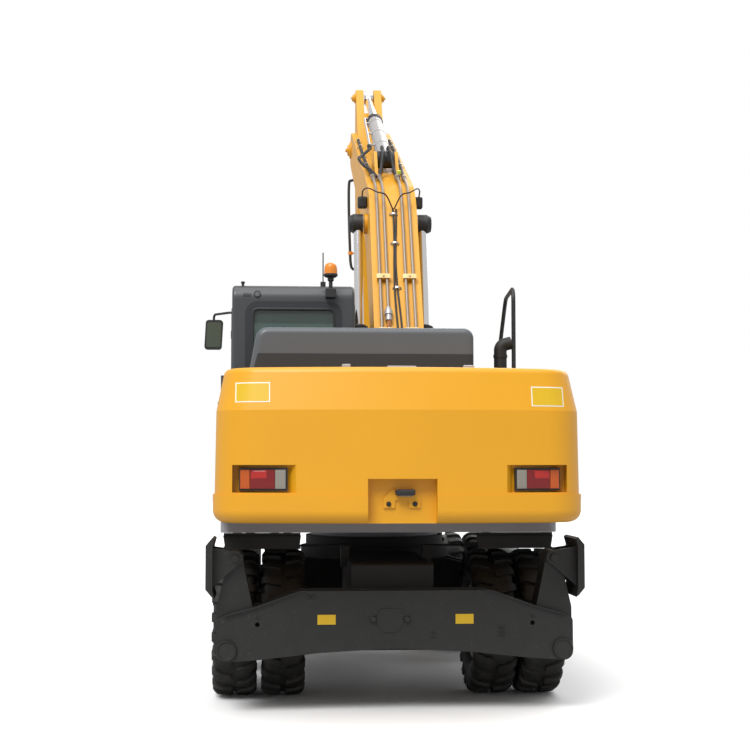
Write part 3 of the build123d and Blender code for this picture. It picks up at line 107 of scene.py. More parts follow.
class Tone(Enum):
    """Base colours, as linear red, green and blue."""

    AMBER = (0.720, 0.335, 0.006)
    GREY = (0.046, 0.049, 0.053)
    SKIRT = (0.300, 0.300, 0.330)
    BLACK_PAINT = (0.0105, 0.0105, 0.0100)
    DARK = (0.0055, 0.0055, 0.0050)
    RUBBER = (0.0090, 0.0085, 0.0075)
    HOSE = (0.012, 0.012, 0.013)
    STEEL = (0.560, 0.545, 0.540)
    CHROME = (0.780, 0.780, 0.790)
    CAST = (0.020, 0.0195, 0.019)
    # Grey-brown: partly the pipes' own steel, partly a painted reflection of the amber boom
    PIPE_WITH_PAINTED_REFLECTION = (0.300, 0.240, 0.190)
    RIM = (0.240, 0.245, 0.250)
    PLASTIC = (0.014, 0.014, 0.015)
    GLASS = (0.260, 0.350, 0.320)
    ORANGE = (0.480, 0.085, 0.005)
    BEACON = (0.780, 0.235, 0.015)
    RED = (0.180, 0.004, 0.005)
    CLEAR = (0.240, 0.225, 0.190)
    CLOTH = (0.030, 0.031, 0.035)
    LABEL = (0.660, 0.410, 0.008)
    SLATE = (0.085, 0.096, 0.110)
    SHADED = (0.019, 0.022, 0.026)
    PALE = (0.800, 0.790, 0.700)
    RUST = (0.180, 0.062, 0.024)
    COPPER = (0.560, 0.240, 0.110)
    DUST = (0.230, 0.210, 0.180)
    FLOOR = (0.900, 0.900, 0.900)
    SILVER_PAINT = (0.420, 0.405, 0.400)
    # Painted reflection: the dark green that the mirror's glass reflects, set as its colour
    MIRROR = (0.050, 0.062, 0.036)
    BRIGHT_RED = (0.420, 0.016, 0.012)
    PALE_AMBER = (0.800, 0.560, 0.240)
    CAP_YELLOW = (0.560, 0.620, 0.040)


class Grain(Enum):
    """Kinds of surface relief: noise scale per metre and the share of fine detail."""

    PAINT = (38.0, 0.35)
    CAST = (150.0, 0.75)
    MOULDED = (420.0, 0.60)
    RUBBER = (95.0, 0.70)
    BRUSHED = (240.0, 0.50)
    CLOTH = (560.0, 0.80)


@dataclass(frozen=True)
class Finish:
    """A surface finish, which builds one material."""

    name: str
    tone: Tone
    roughness: float
    grain: Grain = Grain.PAINT
    relief: float = 0.014
    metallic: float = 0.0
    coat: float = 0.0
    dust: float = 0.0
    dust_top: float = 0.9
    variation: float = 0.05
    wear: float = 0.0
    sheen: float = 0.0
    transmission: float = 0.0
    slot: str = ""


AMBER = Finish(
    "amber_paint", Tone.AMBER, 0.44, coat=0.04, dust=0.02, variation=0.04, wear=0.01, slot="boom_paint"
)
GREY = Finish("grey_paint", Tone.GREY, 0.38, coat=0.15, dust=0.02, wear=0.01, slot="dark_paint")
BLACK = Finish(
    "black_paint", Tone.BLACK_PAINT, 0.50, relief=0.020, dust=0.03, variation=0.10, wear=0.02,
    slot="frame_paint",
)
DARK = Finish("underbody_paint", Tone.DARK, 0.62, relief=0.030, dust=0.02, variation=0.10, slot="frame_paint")
SKIRT = Finish("skirt_paint", Tone.SKIRT, 0.45, dust=0.05, variation=0.06, slot="dark_paint")
# Pipe steel whose warm cast is a painted reflection of the amber boom
PIPE_WITH_PAINTED_REFLECTION = Finish(
    "pipe_steel_painted_reflection", Tone.PIPE_WITH_PAINTED_REFLECTION, 0.36, grain=Grain.BRUSHED, metallic=0.25, dust=0.02, variation=0.06,
    slot="pipe_steel",
)
BEACON = Finish(
    "beacon_lens", Tone.BEACON, 0.22, grain=Grain.MOULDED, relief=0.010, coat=0.3, slot="amber_lens"
)
CAST = Finish(
    "cast_parts", Tone.CAST, 0.62, grain=Grain.CAST, relief=0.080, metallic=0.2, dust=0.08, variation=0.12,
    slot="cast_dark",
)
RUBBER = Finish(
    "tyre_rubber", Tone.RUBBER, 0.60, grain=Grain.RUBBER, relief=0.080, dust=0.10, dust_top=1.1,
    variation=0.14, slot="tyre_rubber",
)
RIM = Finish(
    "rim_paint", Tone.RIM, 0.48, relief=0.020, dust=0.12, variation=0.08, wear=0.06, slot="rim_paint"
)
CHROME = Finish(
    "rod_chrome", Tone.CHROME, 0.09, grain=Grain.BRUSHED, relief=0.004, metallic=1.0, variation=0.02,
    slot="rod_chrome",
)
STEEL = Finish(
    "pipe_steel", Tone.STEEL, 0.32, grain=Grain.BRUSHED, relief=0.020, metallic=0.85, dust=0.04,
    variation=0.08, slot="pipe_steel",
)
SILVER = Finish(
    "tube_silver", Tone.SILVER_PAINT, 0.35, relief=0.020, metallic=0.35, dust=0.04, slot="pipe_steel"
)
PLASTIC = Finish(
    "moulded_plastic", Tone.PLASTIC, 0.50, grain=Grain.MOULDED, relief=0.050, dust=0.05, variation=0.08,
    slot="black_plastic",
)
HOSE = Finish(
    "hose_rubber", Tone.HOSE, 0.55, grain=Grain.RUBBER, relief=0.050, dust=0.06, variation=0.10,
    slot="black_plastic",
)
GLASS = Finish(
    "tinted_glass", Tone.GLASS, 0.0, relief=0.0, variation=0.0, transmission=0.85, slot="window_glass"
)
ORANGE = Finish(
    "orange_lens", Tone.ORANGE, 0.24, grain=Grain.MOULDED, relief=0.010, coat=0.1, slot="amber_lens"
)
RED = Finish("red_lens", Tone.RED, 0.24, grain=Grain.MOULDED, relief=0.010, coat=0.1, slot="lamp_plastic")
CLEAR = Finish(
    "clear_lens", Tone.CLEAR, 0.20, grain=Grain.MOULDED, relief=0.010, coat=0.3, slot="lamp_plastic"
)
CLOTH = Finish(
    "seat_cloth", Tone.CLOTH, 0.90, grain=Grain.CLOTH, relief=0.080, variation=0.15, sheen=0.3,
    slot="seat_fabric",
)
LABEL = Finish("label_yellow", Tone.LABEL, 0.40, relief=0.004, dust=0.03, variation=0.03)
PALE = Finish("label_border", Tone.PALE, 0.40, relief=0.004, dust=0.03, variation=0.03)
RUST = Finish("rusty_steel", Tone.RUST, 0.85, grain=Grain.CAST, relief=0.120, metallic=0.2, variation=0.30)
COPPER = Finish(
    "copper_fitting", Tone.COPPER, 0.30, grain=Grain.BRUSHED, relief=0.020, metallic=0.95, variation=0.06,
    slot="pipe_steel",
)
# Mirror glass whose dark green colour is a painted reflection
MIRROR = Finish("mirror_painted_reflection", Tone.MIRROR, 0.06, relief=0.0, coat=0.6, variation=0.0)
REFLECTOR = Finish(
    "red_reflector", Tone.BRIGHT_RED, 0.24, grain=Grain.MOULDED, relief=0.010, coat=0.1, slot="lamp_plastic"
)
PALE_AMBER = Finish("clamp_paint", Tone.PALE_AMBER, 0.40, dust=0.02, variation=0.04, slot="boom_paint")
ORANGE_PAINT = Finish("orange_paint", Tone.BEACON, 0.42, relief=0.020, dust=0.05, slot="boom_paint")
CAP_YELLOW = Finish("dust_cap", Tone.CAP_YELLOW, 0.45, grain=Grain.MOULDED, relief=0.010, variation=0.04)
TINT = Finish("lamp_tint", Tone.CAST, 0.30, grain=Grain.MOULDED, relief=0.010, slot="lamp_plastic")
SLATE = Finish("hood_paint", Tone.SLATE, 0.40, slot="dark_paint")
# Painted shade of the hood's lower rear wall, where it rounds away; the rear window's border wears the same
# dark finish
SHADED = Finish("hood_painted_shade", Tone.SHADED, 0.48, slot="dark_paint")
FLOOR = Finish("studio_floor", Tone.FLOOR, 0.85, relief=0.0, variation=0.0)


def add_node(
    tree: bpy.types.NodeTree, kind: str, feeds: Feeds | None = None, **settings: object
) -> bpy.types.Node:
    """Adds a shader node to a tree.

    Args:
        tree: the tree.
        kind: the node's type name without its prefix.
        feeds: its inputs by name or number, each a socket to link or a fixed value.
        settings: attributes to set on the node.

    Returns:
        The new node.
    """
    made = tree.nodes.new(f"ShaderNode{kind}")
    for key, value in settings.items():
        setattr(made, key, value)
    for key, value in (feeds or {}).items():
        if isinstance(value, bpy.types.NodeSocket):
            tree.links.new(value, made.inputs[key])
        else:
            made.inputs[key].default_value = value
    return made


class GroupBuilder:
    """Builds a shader node group with named sockets."""

    def __init__(self, name: str) -> None:
        """Starts an empty group of that name."""
        self.tree = bpy.data.node_groups.new(name, "ShaderNodeTree")
        self.entry = self.tree.nodes.new("NodeGroupInput")
        self.leave = self.tree.nodes.new("NodeGroupOutput")

    def socket(self, name: str, kind: str, way: str, value: float | tuple[float, ...] | None = None) -> None:
        """Adds a named socket.

        Args:
            name: the socket's name.
            kind: the socket type's last word, such as Float or Color.
            way: INPUT or OUTPUT.
            value: the value an input starts with.
        """
        made = self.tree.interface.new_socket(name, in_out=way, socket_type=f"NodeSocket{kind}")
        if value is not None:
            made.default_value = value

    def node(self, kind: str, feeds: Feeds | None = None, **settings: object) -> bpy.types.Node:
        """Adds a node with its inputs and settings.

        Args:
            kind: the node's type name without its prefix.
            feeds: its inputs by name or number, each a socket to link or a fixed value.
            settings: attributes to set on the node.

        Returns:
            The new node.
        """
        return add_node(self.tree, kind, feeds, **settings)

    def link(self, start: bpy.types.NodeSocket, end: bpy.types.NodeSocket) -> None:
        """Joins two sockets."""
        self.tree.links.new(start, end)


class Effects:
    """The node groups that the materials share, each built once."""

    def __init__(self) -> None:
        """Builds the groups."""
        self.grain = self._grain()
        self.tint = self._tint()

    @staticmethod
    def _grain() -> bpy.types.NodeTree:
        """Surface relief: coarse and fine noise on object coordinates, mixed into one height.

        Returns:
            The group, with Scale and Fine in and Height out.
        """
        build = GroupBuilder("surface_grain")
        build.socket("Scale", "Float", "INPUT", 40.0)
        build.socket("Fine", "Float", "INPUT", 0.5)
        build.socket("Height", "Float", "OUTPUT")
        place = build.node("TexCoord").outputs["Object"]
        scale, share = build.entry.outputs["Scale"], build.entry.outputs["Fine"]
        faster = build.node("Math", {0: scale, 1: FINE_NOISE_TIMES}, operation="MULTIPLY")
        coarse, fine = (
            build.node("TexNoise", {"Vector": place, "Scale": size, "Detail": 3.0}).outputs["Fac"]
            for size in (scale, faster.outputs[0])
        )
        mix = build.node("Mix", {0: share, 2: coarse, 3: fine}, data_type="FLOAT")
        build.link(mix.outputs[0], build.leave.inputs["Height"])
        return build.tree

    @staticmethod
    def _tint() -> bpy.types.NodeTree:
        """Colour over the surface: slow variation, dust that thins out with height, and small worn specks.

        Returns:
            The group, with the base colour and amounts in, and Color and Roughness out.
        """
        build = GroupBuilder("paint_tint")
        build.socket("Base", "Color", "INPUT", (0.5, 0.5, 0.5, 1.0))
        build.socket("Dust Color", "Color", "INPUT", (*Tone.DUST.value, 1.0))
        for name, value in (
            ("Roughness", 0.4), ("Variation", 0.1), ("Dust", 0.1), ("Dust Top", 1.0), ("Wear", 0.0)
        ):
            build.socket(name, "Float", "INPUT", value)
        build.socket("Color", "Color", "OUTPUT")
        build.socket("Roughness", "Float", "OUTPUT")
        source = build.entry.outputs
        place = build.node("TexCoord").outputs["Object"]
        height = build.node("SeparateXYZ", {0: place}).outputs["Z"]

        def noise(scale: float, detail: float) -> bpy.types.NodeSocket:
            """Noise on the object's coordinates."""
            return build.node("TexNoise", {"Vector": place, "Scale": scale, "Detail": detail}).outputs["Fac"]

        def math_of(operation: str, a: object, b: object, clamp: bool = False) -> bpy.types.NodeSocket:
            """Result of one operation on two values."""
            return build.node("Math", {0: a, 1: b}, operation=operation, use_clamp=clamp).outputs[0]

        def ramp(
            value: bpy.types.NodeSocket, start: float, end: object, low: float = 0.0, high: float = 1.0
        ) -> bpy.types.NodeSocket:
            """The value as it goes from start to end, mapped to low and high."""
            feeds = {"Value": value, "From Min": start, "From Max": end, "To Min": low, "To Max": high}
            return build.node("MapRange", feeds).outputs[0]

        def mixed(share: bpy.types.NodeSocket, low: object, high: object) -> bpy.types.NodeSocket:
            """Colour between two, by a share."""
            return build.node("Mix", {0: share, 6: low, 7: high}, data_type="RGBA").outputs[2]

        swing = math_of("MULTIPLY", math_of("SUBTRACT", noise(2.3, 5.0), 0.5), source["Variation"])
        level = build.node("Math", {0: swing, 1: 2.0, 2: 1.0}, operation="MULTIPLY_ADD").outputs[0]
        varied = build.node("VectorMath", {0: source["Base"], "Scale": level}, operation="SCALE").outputs[0]
        # Dust lies thick near the ground and thins out to a fifth at Dust Top
        fade = ramp(height, 0.0, source["Dust Top"], 1.0, 0.22)
        patch = ramp(noise(11.0, 8.0), 0.38, 0.72)
        film = math_of("MULTIPLY", math_of("MULTIPLY", fade, patch), source["Dust"], True)
        dusty = mixed(film, varied, source["Dust Color"])
        # Worn specks are the peaks of a fine noise, and come out lighter
        peak = ramp(noise(34.0, 6.0), 0.64, 0.70)
        bare = math_of("MULTIPLY", peak, source["Wear"], True)
        build.link(mixed(bare, dusty, (*Tone.STEEL.value, 1.0)), build.leave.inputs["Color"])
        feeds = {0: film, 1: DUST_ROUGHNESS, 2: source["Roughness"]}
        rough = build.node("Math", feeds, operation="MULTIPLY_ADD", use_clamp=True)
        build.link(rough.outputs[0], build.leave.inputs["Roughness"])
        return build.tree


class Paintshop:
    """Turns finishes into materials, one for each finish."""

    def __init__(self) -> None:
        """Builds the shared effects."""
        self.effects = Effects()
        self.made: dict[str, bpy.types.Material] = {}

    def material(self, finish: Finish) -> bpy.types.Material:
        """The material of a finish.

        Args:
            finish: the finish wanted.

        Returns:
            Its material, made at the first call.
        """
        if finish.name in self.made:
            return self.made[finish.name]
        material = bpy.data.materials.new(finish.name)
        material.use_nodes = True
        tree = material.node_tree
        shader = tree.nodes["Principled BSDF"]
        scale, fine = finish.grain.value
        color = (*finish.tone.value, 1.0)
        for name, value in (
            ("Base Color", color), ("Roughness", finish.roughness), ("Metallic", finish.metallic),
            ("Coat Weight", finish.coat), ("Coat Roughness", COAT_ROUGHNESS), ("Sheen Weight", finish.sheen),
            ("Transmission Weight", finish.transmission),
        ):
            shader.inputs[name].default_value = value
        if finish.variation > 0.0 or finish.dust > 0.0 or finish.wear > 0.0:
            tint = self._group(
                tree, self.effects.tint,
                {
                    "Base": color, "Roughness": finish.roughness, "Variation": finish.variation,
                    "Dust": finish.dust, "Dust Top": finish.dust_top, "Wear": finish.wear,
                },
            )
            tree.links.new(tint.outputs["Color"], shader.inputs["Base Color"])
            if finish.dust > 0.0:
                tree.links.new(tint.outputs["Roughness"], shader.inputs["Roughness"])
        if finish.relief > 0.0:
            grain = self._group(tree, self.effects.grain, {"Scale": scale, "Fine": fine})
            feeds = {
                "Strength": min(1.0, finish.relief * RELIEF_GAIN), "Distance": RELIEF_DEPTH,
                "Height": grain.outputs["Height"],
            }
            bump = add_node(tree, "Bump", feeds)
            tree.links.new(bump.outputs["Normal"], shader.inputs["Normal"])
        self.made[finish.name] = material
        return material

    @staticmethod
    def _group(tree: bpy.types.NodeTree, group: bpy.types.NodeTree, feeds: Feeds) -> bpy.types.Node:
        """A shared group in a material's tree, with its inputs set to fixed values."""
        made = add_node(tree, "Group", node_tree=group)
        for key, value in feeds.items():
            made.inputs[key].default_value = value
        return made


@dataclass
class Shape:
    """Points, four-sided faces and end caps of a surface, which can be joined to others."""

    points: Array
    quads: NDArray[np.int64]
    caps: list[NDArray[np.int64]] = field(default_factory=list)

    def __add__(self, other: Shape) -> Shape:
        """Both shapes as one."""
        shift = len(self.points)
        return Shape(
            np.vstack((self.points, other.points)), np.vstack((self.quads, other.quads + shift)),
            self.caps + [cap + shift for cap in other.caps],
        )

    def moved(self, x: float, y: float, z: float) -> Shape:
        """The shape moved by a step."""
        return Shape(self.points + (x, y, z), self.quads, self.caps)

    def turned(self, degrees: float, about: Flat) -> Shape:
        """The shape turned about a line along X: (y, z) goes to (y cos a - z sin a, y sin a + z cos a)."""
        angle = math.radians(degrees)
        points = self.points.copy()
        y, z = self.points[:, 1] - about[0], self.points[:, 2] - about[1]
        points[:, 1] = about[0] + y * math.cos(angle) - z * math.sin(angle)
        points[:, 2] = about[1] + y * math.sin(angle) + z * math.cos(angle)
        return Shape(points, self.quads, self.caps)

    def volume(self) -> float:
        """Signed volume inside the faces: a sixth of the sum of a . (b x c) over their triangles."""
        a, b, c, d = (self.points[self.quads[:, k]] for k in range(4))
        total = (a * np.cross(b, c)).sum() + (a * np.cross(c, d)).sum()
        for cap in self.caps:
            ring = self.points[cap]
            total += (ring[0] * np.cross(ring[1:-1], ring[2:])).sum()
        return total / 6

    def outward(self) -> Shape:
        """The closed shape with its faces pointing outwards."""
        if self.volume() >= 0:
            return self
        return Shape(self.points, self.quads[:, ::-1], [cap[::-1] for cap in self.caps])


def joined(shapes: list[Shape]) -> Shape:
    """All the shapes as one."""
    total = shapes[0]
    for shape in shapes[1:]:
        total = total + shape
    return total


def grid(points: Array, wrap_u: bool = False, wrap_v: bool = False) -> Shape:
    """Surface through a grid of points.

    Args:
        points: array of rows, columns and three coordinates.
        wrap_u: joins the last row to the first.
        wrap_v: joins the last column to the first.

    Returns:
        The surface, whose faces point along row direction cross column direction.
    """
    rows, columns = points.shape[:2]
    u = np.arange(rows if wrap_u else rows - 1)
    v = np.arange(columns if wrap_v else columns - 1)
    uu, vv = np.meshgrid(u, v, indexing="ij")
    u2, v2 = (uu + 1) % rows, (vv + 1) % columns
    quads = np.stack((uu * columns + vv, u2 * columns + vv, u2 * columns + v2, uu * columns + v2), -1)
    return Shape(points.reshape(-1, 3), quads.reshape(-1, 4))


def end_caps(count: int, rows: int) -> list[NDArray[np.int64]]:
    """Caps that close the first and the last of some rows of count points."""
    return [np.arange(count), np.arange(count)[::-1] + (rows - 1) * count]


def rectangle(half_across: float, half_up: float) -> Outline:
    """Corners of a rectangle about its middle, anticlockwise."""
    return (
        (-half_across, -half_up), (half_across, -half_up), (half_across, half_up), (-half_across, half_up)
    )


def unit(vector: Array) -> Array:
    """The vector or rows of vectors at length one."""
    return vector / np.maximum(np.linalg.norm(vector, axis=-1, keepdims=True), 1e-12)


def tube(path: Rows, radius: float | Array, sides: int = 12, capped: bool = True) -> Shape:
    """Round tube along a path.

    A point is path(t) + r (cos a N(t) + sin a B(t)), where N is carried along the path with no twist.

    Args:
        path: rows of points.
        radius: one radius, or one for each row.
        sides: points around the tube.
        capped: closes both ends.

    Returns:
        The tube.
    """
    path = np.asarray(path, float)
    along = unit(np.gradient(path, axis=0))
    normal = np.zeros_like(path)
    start = np.array((1.0, 0.0, 0.0)) if abs(along[0, 0]) < 0.9 else np.array((0.0, 1.0, 0.0))
    normal[0] = unit(start - along[0] * (start @ along[0]))
    for row in range(1, len(path)):
        carried = normal[row - 1] - along[row] * (normal[row - 1] @ along[row])
        normal[row] = unit(carried)
    side = np.cross(along, normal)
    angle = np.linspace(0, 2 * np.pi, sides, endpoint=False)
    reach = np.broadcast_to(np.asarray(radius, float), (len(path),))[:, None, None]
    ring = normal[:, None] * np.cos(angle)[None, :, None] + side[:, None] * np.sin(angle)[None, :, None]
    shape = grid(path[:, None] + reach * ring, wrap_v=True)
    if capped:
        shape.caps = end_caps(sides, len(path))
        shape = shape.outward()
    return shape


def lathe(profile: Rows, centre: Point, axis: Point, sides: int = 32, hollow: bool = False) -> Shape:
    """Turned surface: each profile row is a distance along the axis and a radius.

    A point is centre + h axis + r (cos a U + sin a V), with U and V square to the axis.

    Args:
        profile: rows of height and radius.
        centre: a point on the axis, from which heights count.
        axis: the axis direction.
        sides: points around.
        hollow: joins the last row to the first, which leaves a hole along the axis.

    Returns:
        The closed turned surface.
    """
    profile = np.asarray(profile, float)
    way = unit(np.asarray(axis, float))
    start = np.array((0.0, 0.0, 1.0)) if abs(way[2]) < 0.9 else np.array((1.0, 0.0, 0.0))
    u = unit(start - way * (start @ way))
    v = np.cross(way, u)
    angle = np.linspace(0, 2 * np.pi, sides, endpoint=False)
    ring = np.cos(angle)[:, None] * u + np.sin(angle)[:, None] * v
    points = np.asarray(centre) + profile[:, 0, None, None] * way + profile[:, 1, None, None] * ring
    shape = grid(points, wrap_u=hollow, wrap_v=True)
    if not hollow:
        shape.caps = end_caps(sides, len(profile))
    return shape.outward()


def prism(outline: Rows, origin: Point, across: Point, up: Point, depth: float) -> Shape:
    """Plate of an outline: its points run anticlockwise in the plane of across and up, raised by depth.

    Args:
        outline: rows of distances along across and up.
        origin: the outline's own origin.
        across: first direction of the plane.
        up: second direction of the plane.
        depth: thickness along across cross up.

    Returns:
        The closed plate.
    """
    outline = np.asarray(outline, float)
    u, v = np.asarray(across, float), np.asarray(up, float)
    flat = np.asarray(origin) + outline[:, :1] * u + outline[:, 1:] * v
    raised = flat + np.cross(u, v) * depth
    shape = grid(np.stack((flat, raised)), wrap_v=True)
    shape.caps = end_caps(len(outline), 2)
    return shape.outward()


def block(centre: Point, size: Point) -> Shape:
    """Box about a centre, made as a raised rectangle."""
    w, d, h = (s / 2 for s in size)
    return prism(rectangle(w, d), (centre[0], centre[1], centre[2] - h), (1, 0, 0), (0, 1, 0), 2 * h)


def curve(points: Rows, count: int = 40) -> Array:
    """Smooth path through given points, by the Catmull-Rom blend of each four neighbours.

    Args:
        points: the points that the path goes through.
        count: rows in the result.

    Returns:
        Rows of points along the path.
    """
    knots = np.asarray(points, float)
    padded = np.vstack((2 * knots[0] - knots[1], knots, 2 * knots[-1] - knots[-2]))
    t = np.linspace(0, len(knots) - 1, count)
    low = np.minimum(t.astype(int), len(knots) - 2)
    s = (t - low)[:, None]
    a, b, c, d = (padded[low + k] for k in range(4))
    return 0.5 * (2 * b + (c - a) * s + (2 * a - 5 * b + 4 * c - d) * s**2 + (3 * b - a - 3 * c + d) * s**3)


@dataclass
class Workshop:
    """Holds the frame and the paints, and puts finished pieces on their bodies."""

    frame: dict
    paints: Paintshop

    def add(
        self,
        name: str,
        shape: Shape,
        finish: Finish,
        body: str,
        replaces: tuple[str, ...] = (),
        bevel: float = 0.0,
        sharp: float = 34.0,
    ) -> bpy.types.Object:
        """Makes a piece from a shape and puts it on a body.

        Args:
            name: the piece's name.
            shape: its surface.
            finish: its finish.
            body: the body that carries it, or none for a piece that goes on no body.
            replaces: the frame's nodes that it stands for.
            bevel: width of the rounding of its edges, if any.
            sharp: angle in degrees past which an edge stays sharp.

        Returns:
            The new object.
        """
        mesh = bpy.data.meshes.new(name)
        faces = shape.quads.tolist() + [cap.tolist() for cap in shape.caps]
        mesh.from_pydata(shape.points.tolist(), [], faces)
        mesh.validate()
        mesh.polygons.foreach_set("use_smooth", [True] * len(mesh.polygons))
        mesh.set_sharp_from_angle(angle=math.radians(sharp))
        mesh.materials.append(self.paints.material(finish))
        piece = bpy.data.objects.new(name, mesh)
        bpy.context.scene.collection.objects.link(piece)
        if bevel > 0:
            modifier = piece.modifiers.new("rounding", "BEVEL")
            modifier.width = bevel
            modifier.segments = 2
            modifier.limit_method = "ANGLE"
            modifier.harden_normals = True
        if body:
            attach(piece, body)
        if replaces:
            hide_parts(*replaces)
        log.info("piece %s on %s, %d faces", name, body or "two bodies", len(faces))
        return piece

    def paint(self, node: str, finish: Finish) -> None:
        """Gives a node of the frame a finish.

        Args:
            node: the node's name.
            finish: its finish.
        """
        item = self.frame["nodes"][node]
        item.data.materials.clear()
        item.data.materials.append(self.paints.material(finish))
        log.info("node %s in %s", node, finish.name)


class Wall:
    """A node's surface, on which small pieces are seated by rays."""

    def __init__(self, node: bpy.types.Object) -> None:
        """Takes in the node's mesh."""
        mesh = node.data
        self.tree = BVHTree.FromPolygons([v.co for v in mesh.vertices], [p.vertices for p in mesh.polygons])

    def seat(self, start: Point, way: Point) -> tuple[Array, Array]:
        """Where a ray meets the wall.

        Args:
            start: the ray's start, outside the node.
            way: its direction.

        Returns:
            The point met and the wall's normal there, which faces the ray's start.
        """
        place, normal, _, _ = self.tree.ray_cast(Vector(start), Vector(way).normalized())
        if place is None:
            raise ValueError(f"no wall is met from {start} along {way}")
        if normal.dot(Vector(way)) > 0:
            normal = -normal
        return np.array(place), np.array(normal)

    def patch(self, centre: Flat, size: Flat, lift: float, steps: int = 12) -> Shape:
        """Rectangle laid on a rear-facing wall, a little proud of it.

        Args:
            centre: x and z of its middle.
            size: its width and height.
            lift: how far it stands off the wall, and its thickness.
            steps: cells each way.

        Returns:
            The closed sheet, which follows the wall.
        """
        xs = np.linspace(centre[0] - size[0] / 2, centre[0] + size[0] / 2, steps)
        zs = np.linspace(centre[1] - size[1] / 2, centre[1] + size[1] / 2, steps)
        back = np.array([[self.seat((x, RAY_START_Y, z), (0, 1, 0))[0] for z in zs] for x in xs])
        return pad(back - (0, lift, 0), (0.0, lift, 0.0))

    def bolt(self, x: float, z: float, size: float) -> Shape:
        """Bolt on the rear-facing wall at x and z, size wide over its corners."""
        place, _ = self.seat((x, RAY_START_Y, z), (0, 1, 0))
        return bolt(place, (0, -1, 0), size)


def pad(front: Array, depth: Point) -> Shape:
    """Closed pad: a grid of points as its face, a wall round its edge, deep along a vector, and its back.

    Args:
        front: array of rows, columns and three coordinates.
        depth: from the face to the back.

    Returns:
        The closed pad.
    """
    edge = np.concatenate((front[:, 0], front[-1, 1:], front[-2::-1, -1], front[0, -2:0:-1]))
    wall = grid(np.stack((edge, edge + np.asarray(depth))), wrap_v=True)
    wall.caps = [np.arange(len(edge))[::-1] + len(edge)]
    return (grid(front) + wall).outward()


def moulding(path: Rows, normal: Point, section: Rows, closed: bool = True) -> Shape:
    """Section carried along a flat path.

    A point is path(t) + a side(t) + b normal, where side is square to the path and to the normal.

    Args:
        path: rows of points in one plane.
        normal: the plane's normal.
        section: rows of a and b round the section.
        closed: joins the path's end to its start.

    Returns:
        The closed moulding.
    """
    path = np.asarray(path, float)
    if closed:
        along = unit(np.roll(path, -1, 0) - np.roll(path, 1, 0))
    else:
        along = unit(np.gradient(path, axis=0))
    up = unit(np.asarray(normal, float))
    side = np.cross(along, up)
    section = np.asarray(section, float)
    points = path[:, None] + section[None, :, :1] * side[:, None] + section[None, :, 1:] * up
    shape = grid(points, wrap_u=closed, wrap_v=True)
    if not closed:
        shape.caps = end_caps(len(section), len(path))
    return shape.outward()


def rounded_path(corners: Rows, radius: float, steps: int = 6) -> Array:
    """Closed path through a polygon's corners, each rounded by a quadratic curve.

    Near a corner P a point is P + r ((1 - t) squared towards the last corner and t squared towards the next).

    Args:
        corners: rows of points.
        radius: how far from a corner its curve starts.
        steps: points on each curve.

    Returns:
        Rows of points.
    """
    corners = np.asarray(corners, float)
    back = unit(np.roll(corners, 1, 0) - corners)
    ahead = unit(np.roll(corners, -1, 0) - corners)
    t = np.linspace(0, 1, steps)[None, :, None]
    rounds = corners[:, None] + radius * ((1 - t) ** 2 * back[:, None] + t**2 * ahead[:, None])
    return rounds.reshape(-1, corners.shape[1])


def repeated(points: Array) -> Shape:
    """Copies of one closed loft, from an array of copies, sections, points of a section and coordinates."""
    copies, rows, columns = points.shape[:3]
    one = grid(points[0], wrap_v=True)
    shift = np.arange(copies) * rows * columns
    quads = (one.quads[None] + shift[:, None, None]).reshape(-1, 4)
    last = (rows - 1) * columns
    caps = [np.arange(columns) + s for s in shift] + [np.arange(columns)[::-1] + last + s for s in shift]
    return Shape(points.reshape(-1, 3), quads, caps).outward()


def signed_power(values: Array, power: float) -> Array:
    """The values raised to a power with their sign kept."""
    return np.sign(values) * np.abs(values) ** power


def cushion(centre: Point, half: Point, square: float = CUSHION_POWER) -> Shape:
    """Crowned closed pad.

    A point is centre + (a C(v) C(u), b S(v) C(u), c S(u)), where C and S are cosine and sine raised to
    the power square with their sign kept, u runs nearly from pole to pole and v runs round.

    Args:
        centre: the pad's middle.
        half: its half sizes along X, Y and Z.
        square: the power; 1 gives an ellipsoid, and near 0 it is a box.

    Returns:
        The closed pad.
    """
    rows, columns = CUSHION_CELLS
    u = np.linspace(-np.pi / 2 + 0.02, np.pi / 2 - 0.02, rows)[:, None]
    v = np.linspace(-np.pi, np.pi, columns, endpoint=False)[None, :]
    x = half[0] * signed_power(np.cos(v), square) * signed_power(np.cos(u), square)
    y = half[1] * signed_power(np.sin(v), square) * signed_power(np.cos(u), square)
    z = half[2] * signed_power(np.sin(u), square) * np.ones_like(v)
    shape = grid(np.stack((x, y, z), -1) + np.asarray(centre), wrap_v=True)
    shape.caps = end_caps(columns, rows)
    return shape.outward()


def bolt(place: Point | Array, way: Point | Array, size: float) -> Shape:
    """Hexagon head on its washer, on a face at place and facing along way; size is its width over corners."""
    washer = lathe(np.array(((-0.10, 0.64), (0.08, 0.64), (0.12, 0.58))) * size, place, way, 16)
    head = lathe(np.array(((0.0, 0.50), (0.50, 0.50), (0.60, 0.40))) * size, place, way, 6)
    return washer + head


def ring_of_bolts(centre: Point, way: Point, radius: float, count: int, size: float) -> Shape:
    """Bolts on a circle square to the X axis, all facing along way."""
    angles = np.arange(count) * 2 * np.pi / count
    places = [(centre[0], centre[1] + radius * math.sin(a), centre[2] + radius * math.cos(a)) for a in angles]
    return joined([bolt(place, way, size) for place in places])


